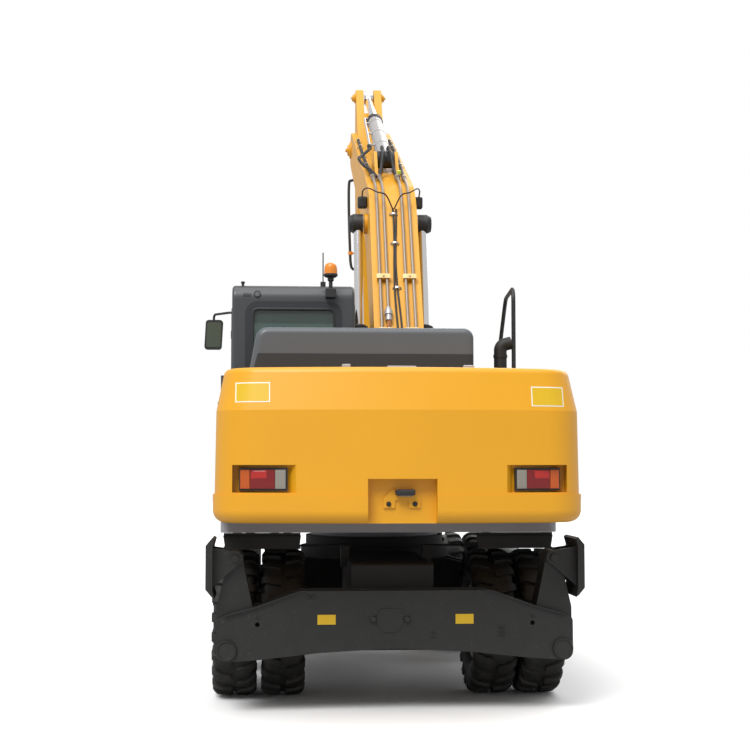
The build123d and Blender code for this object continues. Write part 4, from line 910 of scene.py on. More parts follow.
@dataclass(frozen=True)
class Rail:
    """Straight line across the machine's side, along which pieces are placed; its ends are y and z."""

    start: Flat
    end: Flat

    @property
    def way(self) -> Array:
        """Its direction, as y and z."""
        return unit(np.array(self.end) - np.array(self.start))

    @property
    def axis(self) -> Point:
        """Its direction in space."""
        return (0.0, float(self.way[0]), float(self.way[1]))

    @property
    def out(self) -> Array:
        """Direction in space that is square to it and upwards."""
        return np.array((0.0, -self.way[1], self.way[0]))

    def at(self, distance: float, lift: float, x: float) -> Point:
        """Point at x, by the distance from its start and the height over it."""
        y, z = np.array(self.start) + self.way * distance + lift * self.out[1:]
        return (x, float(y), float(z))


BOOM_BACK = Rail(BOOM_BACK_LOW, BOOM_BEND)
BOOM_TOP = Rail(BOOM_BEND, BOOM_TOP_END)


@dataclass
class Wheels:
    """Tyres with moulded lugs, and the nuts of the rims."""

    lugs: int = 22
    lug_height: float = 0.0232
    lug_half: float = 0.031
    sweep: float = 0.105
    crown: float = 0.5012
    turns: int = 96
    rim_face_x: float = 1.0595
    nut_ring: float = 0.170
    cap_face_x: float = 1.120

    def outer_line(self) -> Array:
        """Half of the carcass from its middle down to the bead, as rows of x and radius."""
        knots = (
            (0.0, self.crown, 0.0), (0.060, self.crown, 0.0), (0.106, 0.4980, 0.0), (0.129, 0.485, 0.0),
            (0.1415, 0.455, 0.0), (0.1465, 0.410, 0.0), (0.1440, 0.360, 0.0), (0.126, 0.312, 0.0),
            (0.101, 0.286, 0.0), (0.0945, 0.274, 0.0),
        )
        return curve(knots, 30)[:, :2]

    def carcass(self) -> Shape:
        """Body of the tyre: its closed profile (x(t), r(t)) turned to (x, r sin a, r cos a)."""
        half = self.outer_line()
        bore = np.array(((0.0945, 0.2565), (-0.0945, 0.2565)))
        profile = np.vstack((half[::-1] * (-1, 1), half[1:], bore))
        angle = np.linspace(0, 2 * np.pi, self.turns, endpoint=False)
        x = np.broadcast_to(profile[:, :1], (len(profile), self.turns))
        r = profile[:, 1:]
        points = np.stack((x, r * np.sin(angle), r * np.cos(angle)), -1)
        return grid(points, wrap_u=True, wrap_v=True).outward()

    def lug_row(self, side: int) -> Shape:
        """One row of lugs.

        At a share s of the way from the middle over the shoulder, and a point (d, h) of the lug's section,
        the radius and x are those of the carcass plus h along its normal, and the angle is that of the lug
        plus a sweep that grows with s and d over the radius.

        Args:
            side: -1 or 1, for the row at low or high x.

        Returns:
            The closed lugs.
        """
        line = self.outer_line()
        line = line[(line[:, 0] > 0.005) & (line[:, 1] > 0.405)]
        steps = np.linspace(0, len(line) - 1, 12).round().astype(int)
        line = line[np.unique(steps)]
        along = unit(np.gradient(line, axis=0))
        normal = np.stack((-along[:, 1], along[:, 0]), -1)
        share = np.linspace(0, 1, len(line))
        height = self.lug_height * np.clip(1.12 - 1.25 * np.clip(share - 0.62, 0, 1) / 0.38, 0.22, 1.0)
        width = self.lug_half * (0.86 + 0.34 * share)
        section = np.array((
            (-1.0, -0.25), (-0.96, 0.72), (-0.82, 1.0), (0.82, 1.0), (0.96, 0.72), (1.0, -0.25)
        ))
        lift = section[None, :, 1] * height[:, None]
        x = line[:, None, 0] + normal[:, None, 0] * lift
        r = line[:, None, 1] + normal[:, None, 1] * lift
        angle = self.sweep * np.sin(share * np.pi / 2)[:, None] + section[None, :, 0] * width[:, None] / r
        pitch = 2 * np.pi / self.lugs
        turn = (np.arange(self.lugs) * pitch + (0.25 if side > 0 else -0.25) * pitch)[:, None, None]
        total = angle[None] + turn
        points = np.stack((side * np.broadcast_to(x, total.shape), r * np.sin(total), r * np.cos(total)), -1)
        return repeated(points)

    def dress(self, shop: Workshop) -> None:
        """Puts the tyres and nuts on the four twin wheels.

        Args:
            shop: the workshop.
        """
        tyre = self.carcass() + self.lug_row(-1) + self.lug_row(1)
        for place, axle_y in AXLE_Y.items():
            for side, name in SIDES:
                body = f"wheel_{place}_{name}"
                pair = joined([tyre.moved(side * mid, axle_y, TYRE_RADIUS) for mid in TYRE_MIDS])
                node = f"tyres_{place}_{name}"
                shop.add(f"{node}_lugged", pair, RUBBER, body, (node,), sharp=28)
                way = (side, 0, 0)
                nuts = ring_of_bolts(
                    (side * self.rim_face_x, axle_y, TYRE_RADIUS), way, self.nut_ring, 10, 0.036
                )
                cap = ring_of_bolts((side * self.cap_face_x, axle_y, TYRE_RADIUS), way, 0.055, 6, 0.018)
                shop.add(f"nuts_{place}_{name}", nuts + cap, CAST, body)


@dataclass
class Tail:
    """Lamps, labels, plate lamp and small fittings of the counterweight."""

    lamp_low: Flat = (0.735, -2.695)
    lamp_high: Flat = (1.047, -2.600)
    lens_z: Flat = (1.5145, 1.6335)
    lens_rise: float = 0.008
    labels: tuple[tuple[str, float, float], ...] = (("left", -0.962, 2.135), ("right", 0.962, 2.112))
    label_size: Flat = (0.225, 0.130)
    plate_floor_y: float = -2.6923
    plate_lamp: Flat = (0.020, -2.722)
    plate_lamp_z: float = 1.490
    plate_lens_z: float = 1.468
    plate_window_y: float = -2.7535
    housing_top_z: float = 2.300

    def lens(self, side: int, low: float, high: float, ribs: int) -> Shape:
        """Lens over one field of a tail lamp.

        Its front stands out by a dome (1 - U to the sixth)(1 - V to the sixth), where U and V run from -1
        to 1 across and up, with a cosine wave for the ribs.

        Args:
            side: -1 or 1.
            low: share of the lamp's face where it starts, from inside.
            high: share where it ends.
            ribs: upright ribs across it.

        Returns:
            The closed lens.
        """
        start, end = np.array(self.lamp_low), np.array(self.lamp_high)
        way = unit(end - start)
        out = np.array((way[1], -way[0]))
        u, v = np.meshgrid(np.linspace(0, 1, 8 * max(ribs, 2) + 1), np.linspace(0, 1, 13), indexing="ij")
        share = low - 0.006 + (high - low + 0.012) * u
        bulge = (1 - (2 * u - 1) ** 6) * (1 - (2 * v - 1) ** 6)
        wave = np.cos(2 * np.pi * ribs * u) * (ribs > 0)
        rise = self.lens_rise + 0.0010 + 0.0030 * bulge + 0.0008 * wave * bulge
        flat = start + (end - start) * share[..., None] + out * rise[..., None]
        z = self.lens_z[0] - 0.001 + (self.lens_z[1] - self.lens_z[0] + 0.002) * v
        front = np.stack((side * flat[..., 0], flat[..., 1], z), -1)
        depth = -out * (self.lens_rise - 0.002)
        return pad(front, (side * depth[0], depth[1], 0.0))

    def dress(self, shop: Workshop) -> None:
        """Puts the fittings on the counterweight.

        Args:
            shop: the workshop.
        """
        wall = Wall(shop.frame["nodes"]["counterweight"])
        for side, name in SIDES:
            for low, high, ribs, finish in (
                (0.04, 0.24, 0, CLEAR), (0.26, 0.76, 0, RED), (0.78, 0.96, 6, ORANGE)
            ):
                lens = self.lens(side, low, high, ribs)
                shop.add(f"{finish.name}_{name}", lens, finish, "upper", sharp=50)
            glow = self.lens(side, 0.42, 0.74, 0)
            glow.points[:, 2] = 1.578 + (glow.points[:, 2] - self.lens_z[0]) * 0.42
            glow.points[:, 1] -= 0.0022
            shop.add(f"upper_reflector_{name}", glow, REFLECTOR, "upper", sharp=50)
        width, height = self.label_size
        for name, x, z in self.labels:
            border = wall.patch((x, z), (width, height), 0.0012)
            shop.add(f"label_border_{name}", border, PALE, "upper", sharp=60)
            middle = wall.patch((x, z), (width - 0.014, height - 0.014), 0.0022)
            shop.add(f"label_field_{name}", middle, LABEL, "upper", sharp=60)
        body = block((*self.plate_lamp, self.plate_lamp_z), (0.126, 0.062, 0.040))
        shop.add("plate_lamp_body", body, PLASTIC, "upper", bevel=0.008)
        lens = block((*self.plate_lamp, self.plate_lens_z), (0.090, 0.034, 0.008))
        shop.add("plate_lamp_lens", lens, CLEAR, "upper", bevel=0.003)
        window = block((self.plate_lamp[0], self.plate_window_y, self.plate_lamp_z), (0.070, 0.004, 0.014))
        shop.add("plate_lamp_window", window, TINT, "upper", bevel=0.0015)
        feet = [bolt((x, self.plate_floor_y, 1.415), (0, -1, 0), 0.026) for x in (-0.085, 0.085)]
        shop.add("bracket_bolts", joined(feet), CAST, "upper")
        rows = ((-0.354, 0.056, 0.026), (0.010, 0.190, 0.016), (0.452, 0.072, 0.022))
        pads = [
            block((x, -2.560, self.housing_top_z + high / 2 - 0.002), (wide, 0.060, high))
            for x, wide, high in rows
        ]
        shop.add("top_pads", joined(pads), SILVER, "upper", bevel=0.005)


@dataclass
class Hydraulics:
    """Pipes, clamps, hoses, cables, valve, covers and lamps of the boom and its cylinders."""

    pipe_offsets: tuple[float, ...] = (-0.150, -0.088, 0.078, 0.145)
    clamp_distances: tuple[float, ...] = (0.930, 1.500)
    clamp_offsets: tuple[float, ...] = (-0.119, 0.112)
    pipe_lift: float = 0.032
    pipe_radius: float = 0.013
    pipe_start: float = 0.380
    pipe_past_bend: float = 0.450
    eye: Flat = (1.500, 3.923)
    eye_offset: float = 0.300
    arm_foot: Flat = (2.075, 4.651)
    arm_eye: Flat = (4.750, 5.929)
    boom_cylinder_foot: Flat = (0.950, 1.520)
    bucket_cylinder_ends: tuple[Flat, Flat] = ((5.030, 5.000), (5.106, 3.088))
    hose_radius: float = 0.0165
    small_hose_radius: float = 0.0155
    lamp_offset: float = 0.2600
    lamp_place: Flat = (1.480, 4.120)
    lamp_lens_y: float = 1.514

    def arm_cylinder(self, distance: float, side: float, up: float) -> Point:
        """Point beside the arm cylinder, by distance from its foot, to the right and up from its axis."""
        return Rail(self.arm_foot, self.arm_eye).at(distance, up, BOOM_X + side)

    def pipe_path(self, x: float) -> Array:
        """Line of a pipe at x: up the back, a circle's arc round the bend, and on along the top."""
        low = np.array(BOOM_BACK.at(self.pipe_start, self.pipe_lift, x))
        end = np.array(BOOM_TOP.at(self.pipe_past_bend - 0.012, self.pipe_lift, x))
        back, top = np.array(BOOM_BACK.axis), np.array(BOOM_TOP.axis)
        turn = math.acos(float(back @ top))
        ahead = np.linalg.solve(np.array((back[1:], -top[1:])).T, end[1:] - low[1:])[0]
        corner = low + back * ahead
        radius = BOOM_BEND_RADIUS + self.pipe_lift
        start = corner - back * radius * math.tan(turn / 2)
        down = np.array((0.0, back[2], -back[1]))
        t = np.linspace(0, turn, 14)[:, None]
        arc = start + radius * (np.sin(t) * back + (1 - np.cos(t)) * down)
        return np.vstack((low, low + 0.001 * back, arc, end - 0.001 * top, end))

    def pipes(self) -> Shape:
        """The four pipes with a turned coupling near each upper end."""
        shapes = []
        rows = (
            (-0.072, 0.0125), (-0.070, 0.0185), (-0.050, 0.0185), (-0.048, 0.0200), (-0.006, 0.0200),
            (-0.002, 0.0160),
        )
        for offset in self.pipe_offsets:
            path = self.pipe_path(BOOM_X + offset)
            shapes.append(tube(path, self.pipe_radius, 16))
            shapes.append(lathe(rows, tuple(path[-1]), BOOM_TOP.axis, 6))
        return joined(shapes)

    def clamp_bars(self) -> Shape:
        """The bars under and round each pair of pipes."""
        outline = rectangle(0.055, 0.020)
        return joined([
            prism(outline, BOOM_BACK.at(distance, 0.0003, BOOM_X + offset), (1, 0, 0), BOOM_BACK.axis, 0.048)
            for distance in self.clamp_distances for offset in self.clamp_offsets
        ])

    def clamps(self) -> Shape:
        """Cover plates on the pipe clamps, each crowned across, with a bolt in its middle."""
        shapes = []
        way, out = np.array(BOOM_BACK.axis), BOOM_BACK.out
        u, v = np.meshgrid(np.linspace(-1, 1, 13), np.linspace(-1, 1, 5), indexing="ij")
        rise = 0.007 - 0.003 * u**4
        plate = np.stack((0.060 * u, 0.023 * v * way[1], 0.023 * v * way[2]), -1)
        for distance in self.clamp_distances:
            for offset in self.clamp_offsets:
                centre = np.array(BOOM_BACK.at(distance, 0.049, BOOM_X + offset))
                shapes.append(pad(centre + plate + rise[..., None] * out, tuple(-0.012 * out)))
                shapes.append(bolt(centre + 0.007 * out, tuple(out), 0.022))
        return joined(shapes)

    def cables(self) -> Shape:
        """Two black cables side by side up the boom's back, with small waves, and their lamp leads."""
        shapes = []
        for offset, lift, sway in ((-0.012, 0.014, 0.010), (0.012, 0.010, -0.014)):
            rows = [
                BOOM_BACK.at(distance, lift, BOOM_X + offset + sway * math.sin(distance * 4.2 + offset * 90))
                for distance in np.linspace(0.40, 2.28, 10)
            ]
            shapes.append(tube(curve(rows, 60), 0.0085, 8))
        for side in (-1, 1):
            rows = (
                BOOM_BACK.at(2.27, 0.024, BOOM_X + side * 0.006),
                BOOM_BACK.at(2.36, 0.110, BOOM_X + side * 0.070),
                BOOM_BACK.at(2.38, 0.130, BOOM_X + side * 0.150), (BOOM_X + side * 0.225, 1.180, 4.200),
                (BOOM_X + side * 0.262, 1.320, 4.205), (BOOM_X + side * 0.266, 1.430, 4.168),
            )
            shapes.append(tube(curve(rows, 44), 0.0065, 8))
        return joined(shapes)

    def cable_clips(self) -> Shape:
        """Clips that hold the cables down: flat bands over both, each an arch."""
        section = rectangle(0.0015, 0.009)
        return joined([
            self.band(BOOM_BACK.at(distance, 0.001, BOOM_X), BOOM_BACK, (0.040, 0.026), 1.0, section, 13)
            for distance in (0.90, 1.40, 1.89, 2.22)
        ])

    @staticmethod
    def band(foot: Point, rail: Rail, size: Flat, power: float, section: Outline, count: int) -> Shape:
        """Flat band across the boom, an arch whose height is a half sine raised to a power.

        Args:
            foot: its middle, at the height of its ends.
            rail: the way along the boom.
            size: its half width and its height.
            power: the power; below 1 the arch is fuller.
            section: the band's section.
            count: points along the arch.

        Returns:
            The closed band.
        """
        s = np.linspace(-1, 1, count)[:, None]
        arch = np.maximum(np.cos(s * math.pi / 2), 0.0) ** power
        rows = np.array(foot) + size[0] * s * (1.0, 0.0, 0.0) + size[1] * arch * rail.out
        return moulding(rows, rail.axis, section, closed=False)

    def valve(self) -> list[tuple[str, Shape, Finish]]:
        """The silver valve and its copper fitting on the second pipe, turned about the pipe."""
        axis = BOOM_BACK.axis
        centre = BOOM_BACK.at(1.030, self.pipe_lift, BOOM_X + self.pipe_offsets[1])
        rows = (
            (0.0, 0.016), (0.004, 0.030), (0.030, 0.033), (0.034, 0.027), (0.060, 0.027), (0.064, 0.036),
            (0.105, 0.036), (0.110, 0.028), (0.140, 0.024), (0.146, 0.016),
        )
        fitting = (
            (-0.060, 0.015), (-0.056, 0.022), (-0.034, 0.022), (-0.030, 0.018), (-0.012, 0.018),
            (0.004, 0.024),
        )
        return [
            ("inline_valve", lathe(rows, centre, axis, 28), SILVER),
            ("valve_fitting", lathe(fitting, centre, axis, 6), COPPER),
        ]

    def cylinder_hoses(self) -> Shape:
        """Two hoses from the inner pipes' ends up between the lug plates to the ports of the arm cylinder."""
        end = self.pipe_past_bend
        shapes = []
        for offset, side in ((self.pipe_offsets[1], -1), (self.pipe_offsets[2], 1)):
            rows = (
                BOOM_TOP.at(end - 0.01, self.pipe_lift, BOOM_X + offset),
                BOOM_TOP.at(end + 0.09, 0.038, BOOM_X + offset * 0.90),
                BOOM_TOP.at(end + 0.22, 0.095, BOOM_X + side * 0.058),
                BOOM_TOP.at(end + 0.32, 0.200, BOOM_X + side * 0.040),
                self.arm_cylinder(-0.05, side * 0.034, 0.108), self.arm_cylinder(0.05, side * 0.032, 0.116),
                self.arm_cylinder(0.135, side * 0.030, 0.080),
            )
            shapes.append(tube(curve(rows, 60), self.hose_radius, 12))
        return joined(shapes)

    def long_hoses(self) -> Shape:
        """Two hoses from the outer pipes' ends along the boom's top to its tip."""
        end = self.pipe_past_bend
        shapes = []
        for offset, side in ((self.pipe_offsets[0], -1), (self.pipe_offsets[3], 1)):
            rows = (
                BOOM_TOP.at(end - 0.01, self.pipe_lift, BOOM_X + offset),
                BOOM_TOP.at(end + 0.20, 0.034, BOOM_X + offset),
                BOOM_TOP.at(end + 0.75, 0.020, BOOM_X + side * 0.168),
                BOOM_TOP.at(end + 1.60, 0.020, BOOM_X + side * 0.172),
                BOOM_TOP.at(end + 2.30, 0.020, BOOM_X + side * 0.170),
            )
            shapes.append(tube(curve(rows, 60), self.hose_radius, 12))
        return joined(shapes)

    def hose_bands(self) -> Shape:
        """Flat bands that hold the long hoses down on the boom's top, each an arch."""
        section = rectangle(0.0015, 0.014)
        return joined([
            self.band(
                BOOM_TOP.at(distance, 0.0005, BOOM_X + side * 0.170), BOOM_TOP, (0.038, 0.041), 0.7,
                section, 15,
            )
            for distance in (1.20, 1.75, 2.30, 2.70) for side in (-1, 1)
        ])

    def ferrules(self) -> Shape:
        """Crimped ends where the hoses leave the pipes, each a turned body with two grooves."""
        rows = np.array((
            (0.0, 0.019), (0.0, 0.024), (0.018, 0.024), (0.020, 0.021), (0.026, 0.021), (0.028, 0.024),
            (0.046, 0.024), (0.048, 0.021), (0.054, 0.021), (0.056, 0.024), (0.078, 0.024), (0.080, 0.018),
        ))
        return joined([
            lathe(
                rows, BOOM_TOP.at(self.pipe_past_bend - 0.005, self.pipe_lift, BOOM_X + offset),
                BOOM_TOP.axis, 20,
            )
            for offset in self.pipe_offsets
        ])

    def side_pipe(self) -> Shape:
        """Steel pipe on the left of the arm cylinder, from its gland back to its foot."""
        rows = (
            self.arm_cylinder(1.705, -0.060, 0.030), self.arm_cylinder(1.700, -0.096, 0.034),
            self.arm_cylinder(1.640, -0.112, 0.034), self.arm_cylinder(1.000, -0.120, 0.034),
            self.arm_cylinder(0.420, -0.132, 0.040), self.arm_cylinder(0.330, -0.138, 0.046),
        )
        return tube(curve(rows, 60), 0.0130, 12)

    def pipe_fitting(self) -> Shape:
        """Union at the lower end of the cylinder's side pipe, turned about it."""
        rows = (
            (-0.060, 0.016), (-0.056, 0.023), (-0.020, 0.023), (-0.016, 0.019), (0.000, 0.019),
            (0.004, 0.025), (0.040, 0.025), (0.044, 0.018),
        )
        axis = Rail(self.arm_eye, self.arm_foot).axis
        return lathe(rows, self.arm_cylinder(0.335, -0.138, 0.046), axis, 6)

    def pipe_straps(self) -> Shape:
        """Straps round the arm cylinder that carry its side pipe, each a thin ring with a stem."""
        axis = Rail(self.arm_foot, self.arm_eye).axis
        rows = ((-0.014, 0.074), (-0.014, 0.0785), (0.014, 0.0785), (0.014, 0.074))
        shapes = []
        for distance in (0.50, 1.00, 1.50):
            shapes.append(lathe(rows, self.arm_cylinder(distance, 0.0, 0.0), axis, 40, hollow=True))
            ends = (self.arm_cylinder(distance, -0.0745, 0.030), self.arm_cylinder(distance, -0.118, 0.034))
            shapes.append(tube(ends, 0.011, 8))
        return joined(shapes)

    def loop_hose(self) -> Shape:
        """Hose loop that hangs out on the left between the cylinder's side pipe and the boom's pipes."""
        rows = (
            self.arm_cylinder(0.300, -0.138, 0.046), self.arm_cylinder(0.230, -0.150, 0.044),
            (BOOM_X - 0.232, 2.100, 4.690), (BOOM_X - 0.262, 1.990, 4.640), (BOOM_X - 0.225, 1.890, 4.560),
            (BOOM_X - 0.160, 1.800, 4.492), BOOM_TOP.at(0.520, 0.040, BOOM_X - 0.122),
            BOOM_TOP.at(0.470, 0.034, BOOM_X - 0.120),
        )
        return tube(curve(rows, 64), self.small_hose_radius, 12)

    @staticmethod
    def gland(x: float, foot: Flat, eye: Flat, mouth: float, tube_r: float, rod_r: float) -> Shape:
        """Dark gland ring at the mouth of a cylinder, turned about it.

        Args:
            x: the cylinder's x.
            foot: y and z of its foot pin.
            eye: y and z of its rod's eye.
            mouth: distance from the foot pin to the tube's end.
            tube_r: the tube's radius.
            rod_r: the rod's radius.

        Returns:
            The closed ring.
        """
        rail = Rail(foot, eye)
        rows = (
            (-0.093, tube_r + 0.004), (-0.090, tube_r + 0.011), (-0.050, tube_r + 0.011),
            (-0.046, tube_r + 0.0085), (-0.040, tube_r + 0.0085), (-0.036, tube_r + 0.011),
            (-0.004, tube_r + 0.011), (0.001, tube_r + 0.006), (0.003, rod_r + 0.016),
            (0.013, rod_r + 0.012), (0.016, rod_r + 0.0015),
        )
        return lathe(rows, rail.at(mouth, 0.0, x), rail.axis, 40, hollow=True)

    def glands(self) -> list[tuple[str, Shape, str]]:
        """The glands of all cylinders, as rows of name, shape and body."""
        boom = [
            self.gland(
                BOOM_X + side * self.eye_offset, self.boom_cylinder_foot, self.eye, 1.450, 0.070, 0.042
            )
            for side in (-1, 1)
        ]
        return [
            ("boom_cylinder_glands", joined(boom), "boom_cylinder_tubes"),
            (
                "arm_cylinder_gland", self.gland(BOOM_X, self.arm_foot, self.arm_eye, 1.750, 0.075, 0.045),
                "arm_cylinder_tube",
            ),
            (
                "bucket_cylinder_gland",
                self.gland(BOOM_X, *self.bucket_cylinder_ends, 1.230, 0.062, 0.038), "bucket_cylinder_tube",
            ),
        ]

    def pin_covers(self) -> list[tuple[str, Shape, str]]:
        """Stepped covers on the ends of the boom's and arm's pins, as rows of name, shape and body."""
        wide = np.array((
            (-0.001, 0.092), (0.016, 0.092), (0.020, 0.086), (0.024, 0.066), (0.042, 0.060), (0.046, 0.052)
        ))
        rows = (
            ("tip_pin_covers", 0.215, (4.420, 5.244), 1.00, "boom"),
            ("arm_tail_covers", 0.145, self.arm_eye, 0.62, "arm"),
            ("foot_pin_covers", 0.259, (0.200, 1.950), 0.80, "upper"),
        )
        made = []
        for name, half, place, scale, body in rows:
            covers = [
                lathe(wide * (0.9, scale), (BOOM_X + side * half, *place), (side, 0, 0), 36)
                for side in (-1, 1)
            ]
            bolts = [
                bolt((BOOM_X + side * (half + 0.041), *place), (side, 0, 0), 0.040 * scale)
                for side in (-1, 1)
            ]
            made.append((name, joined(covers + bolts), body))
        return made

    def foot_band(self) -> Shape:
        """Dark band round the arm cylinder's foot eye, turned about its pin, with a groove for each hose."""
        rows = (
            (-0.0805, 0.078), (-0.0805, 0.0835), (-0.050, 0.0835), (-0.046, 0.0815), (-0.024, 0.0815),
            (-0.020, 0.0835), (0.020, 0.0835), (0.024, 0.0815), (0.046, 0.0815), (0.050, 0.0835),
            (0.0805, 0.0835), (0.0805, 0.078),
        )
        return lathe(rows, (BOOM_X, *self.arm_foot), (1, 0, 0), 40, hollow=True)

    def arm_hose(self) -> Shape:
        """Hose down the arm's left side, out of the arm's side at the top and back into it lower down."""
        rows = (
            (0.112, 4.450, 4.905), (0.040, 4.450, 4.905), (0.013, 4.445, 4.850), (0.012, 4.425, 4.500),
            (0.022, 4.405, 4.150), (0.030, 4.400, 3.960), (0.052, 4.400, 3.890), (0.112, 4.400, 3.880),
        )
        return tube(curve(rows, 70), self.small_hose_radius, 12)

    def hose_clip(self) -> Shape:
        """Orange clip that holds the arm's hose off the arm: a short stem and a ring round the hose."""
        ring = lathe(
            np.array(((-0.018, 0.0158), (-0.018, 0.024), (0.018, 0.024), (0.018, 0.0158))),
            (0.0265, 4.402, 4.066), (0, 0, 1), 20,
        )
        return ring + tube(((0.046, 4.402, 4.066), (0.112, 4.402, 4.066)), 0.011, 10)

    def test_port(self) -> tuple[Shape, Shape]:
        """Riser on the boom's top beside the pipes and the yellow cap on it."""
        low = BOOM_TOP.at(0.500, 0.000, BOOM_X + 0.100)
        high = BOOM_TOP.at(0.500, 0.062, BOOM_X + 0.100)
        way = unit(np.array(high) - np.array(low))
        cap = lathe(np.array(((0.0, 0.019), (0.030, 0.019), (0.036, 0.014))), high, tuple(way), 18)
        return tube((low, high), 0.012, 10), cap

    def eye_cap(self, side: int) -> Shape:
        """Black cap over a boom cylinder's rod eye, a turned cup that narrows to the outside in a step."""
        rows = (
            (0.0, 0.0905), (0.092, 0.0905), (0.098, 0.084), (0.110, 0.080), (0.128, 0.070), (0.132, 0.050)
        )
        return lathe(rows, (BOOM_X + side * 0.2555, *self.eye), (side, 0, 0), 40)

    def lamp(self, side: int) -> Shape:
        """Housing of a work lamp: a block with rounded, crowned faces."""
        return cushion((BOOM_X + side * self.lamp_offset, *self.lamp_place), (0.044, 0.040, 0.055), 0.30)

    def dress(self, shop: Workshop) -> None:
        """Puts the hydraulics and lamps on the boom.

        Args:
            shop: the workshop.
        """
        # Steel pipes with a painted reflection of the amber boom in their colour
        shop.add("boom_back_pipes", self.pipes(), PIPE_WITH_PAINTED_REFLECTION, "boom", ("boom_pipes",))
        shop.add("pipe_clamp_bars", self.clamp_bars(), AMBER, "boom", ("boom_pipes",), bevel=0.004)
        shop.add("pipe_clamp_plates", self.clamps(), PALE_AMBER, "boom")
        shop.add("boom_cables", self.cables(), HOSE, "boom")
        shop.add("cable_clips", self.cable_clips(), STEEL, "boom")
        for name, shape, finish in self.valve():
            shop.add(name, shape, finish, "boom")
        hoses = shop.add("arm_cylinder_hoses", self.cylinder_hoses(), HOSE, "")
        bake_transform(hoses)
        shop.add("long_hoses", self.long_hoses(), HOSE, "boom")
        shop.add("hose_bands", self.hose_bands(), STEEL, "boom")
        # Ferrules in the pipes' steel with a painted reflection of the amber boom
        shop.add("hose_ferrules", self.ferrules(), PIPE_WITH_PAINTED_REFLECTION, "boom")
        shop.add("arm_cylinder_pipe", self.side_pipe(), STEEL, "arm_cylinder_tube")
        shop.add("side_pipe_union", self.pipe_fitting(), CAST, "arm_cylinder_tube")
        shop.add("side_pipe_straps", self.pipe_straps(), SILVER, "arm_cylinder_tube")
        loop = shop.add("arm_cylinder_loop", self.loop_hose(), HOSE, "")
        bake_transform(loop)
        for name, shape, body in self.glands():
            shop.add(name, shape, PLASTIC, body)
        for name, shape, body in self.pin_covers():
            shop.add(name, shape, AMBER, body)
        shop.add("arm_cylinder_foot_band", self.foot_band(), PLASTIC, "arm_cylinder_tube")
        shop.add("arm_hose", self.arm_hose(), HOSE, "arm")
        shop.add("arm_hose_clip", self.hose_clip(), ORANGE_PAINT, "arm")
        riser, cap = self.test_port()
        shop.add("test_port", riser, STEEL, "boom")
        shop.add("test_port_cap", cap, CAP_YELLOW, "boom")
        for side, name in SIDES:
            shop.add(f"rod_eye_cap_{name}", self.eye_cap(side), PLASTIC, "boom_cylinder_rods")
        lamps = joined([self.lamp(side) for side in (-1, 1)])
        shop.add("work_lamp_housings", lamps, PLASTIC, "boom", ("work_lamps",), sharp=60)
        lenses = [
            block(
                (BOOM_X + side * self.lamp_offset, self.lamp_lens_y, self.lamp_place[1]),
                (0.066, 0.008, 0.086),
            )
            for side in (-1, 1)
        ]
        shop.add("work_lamp_lenses", joined(lenses), CLEAR, "boom", bevel=0.006)


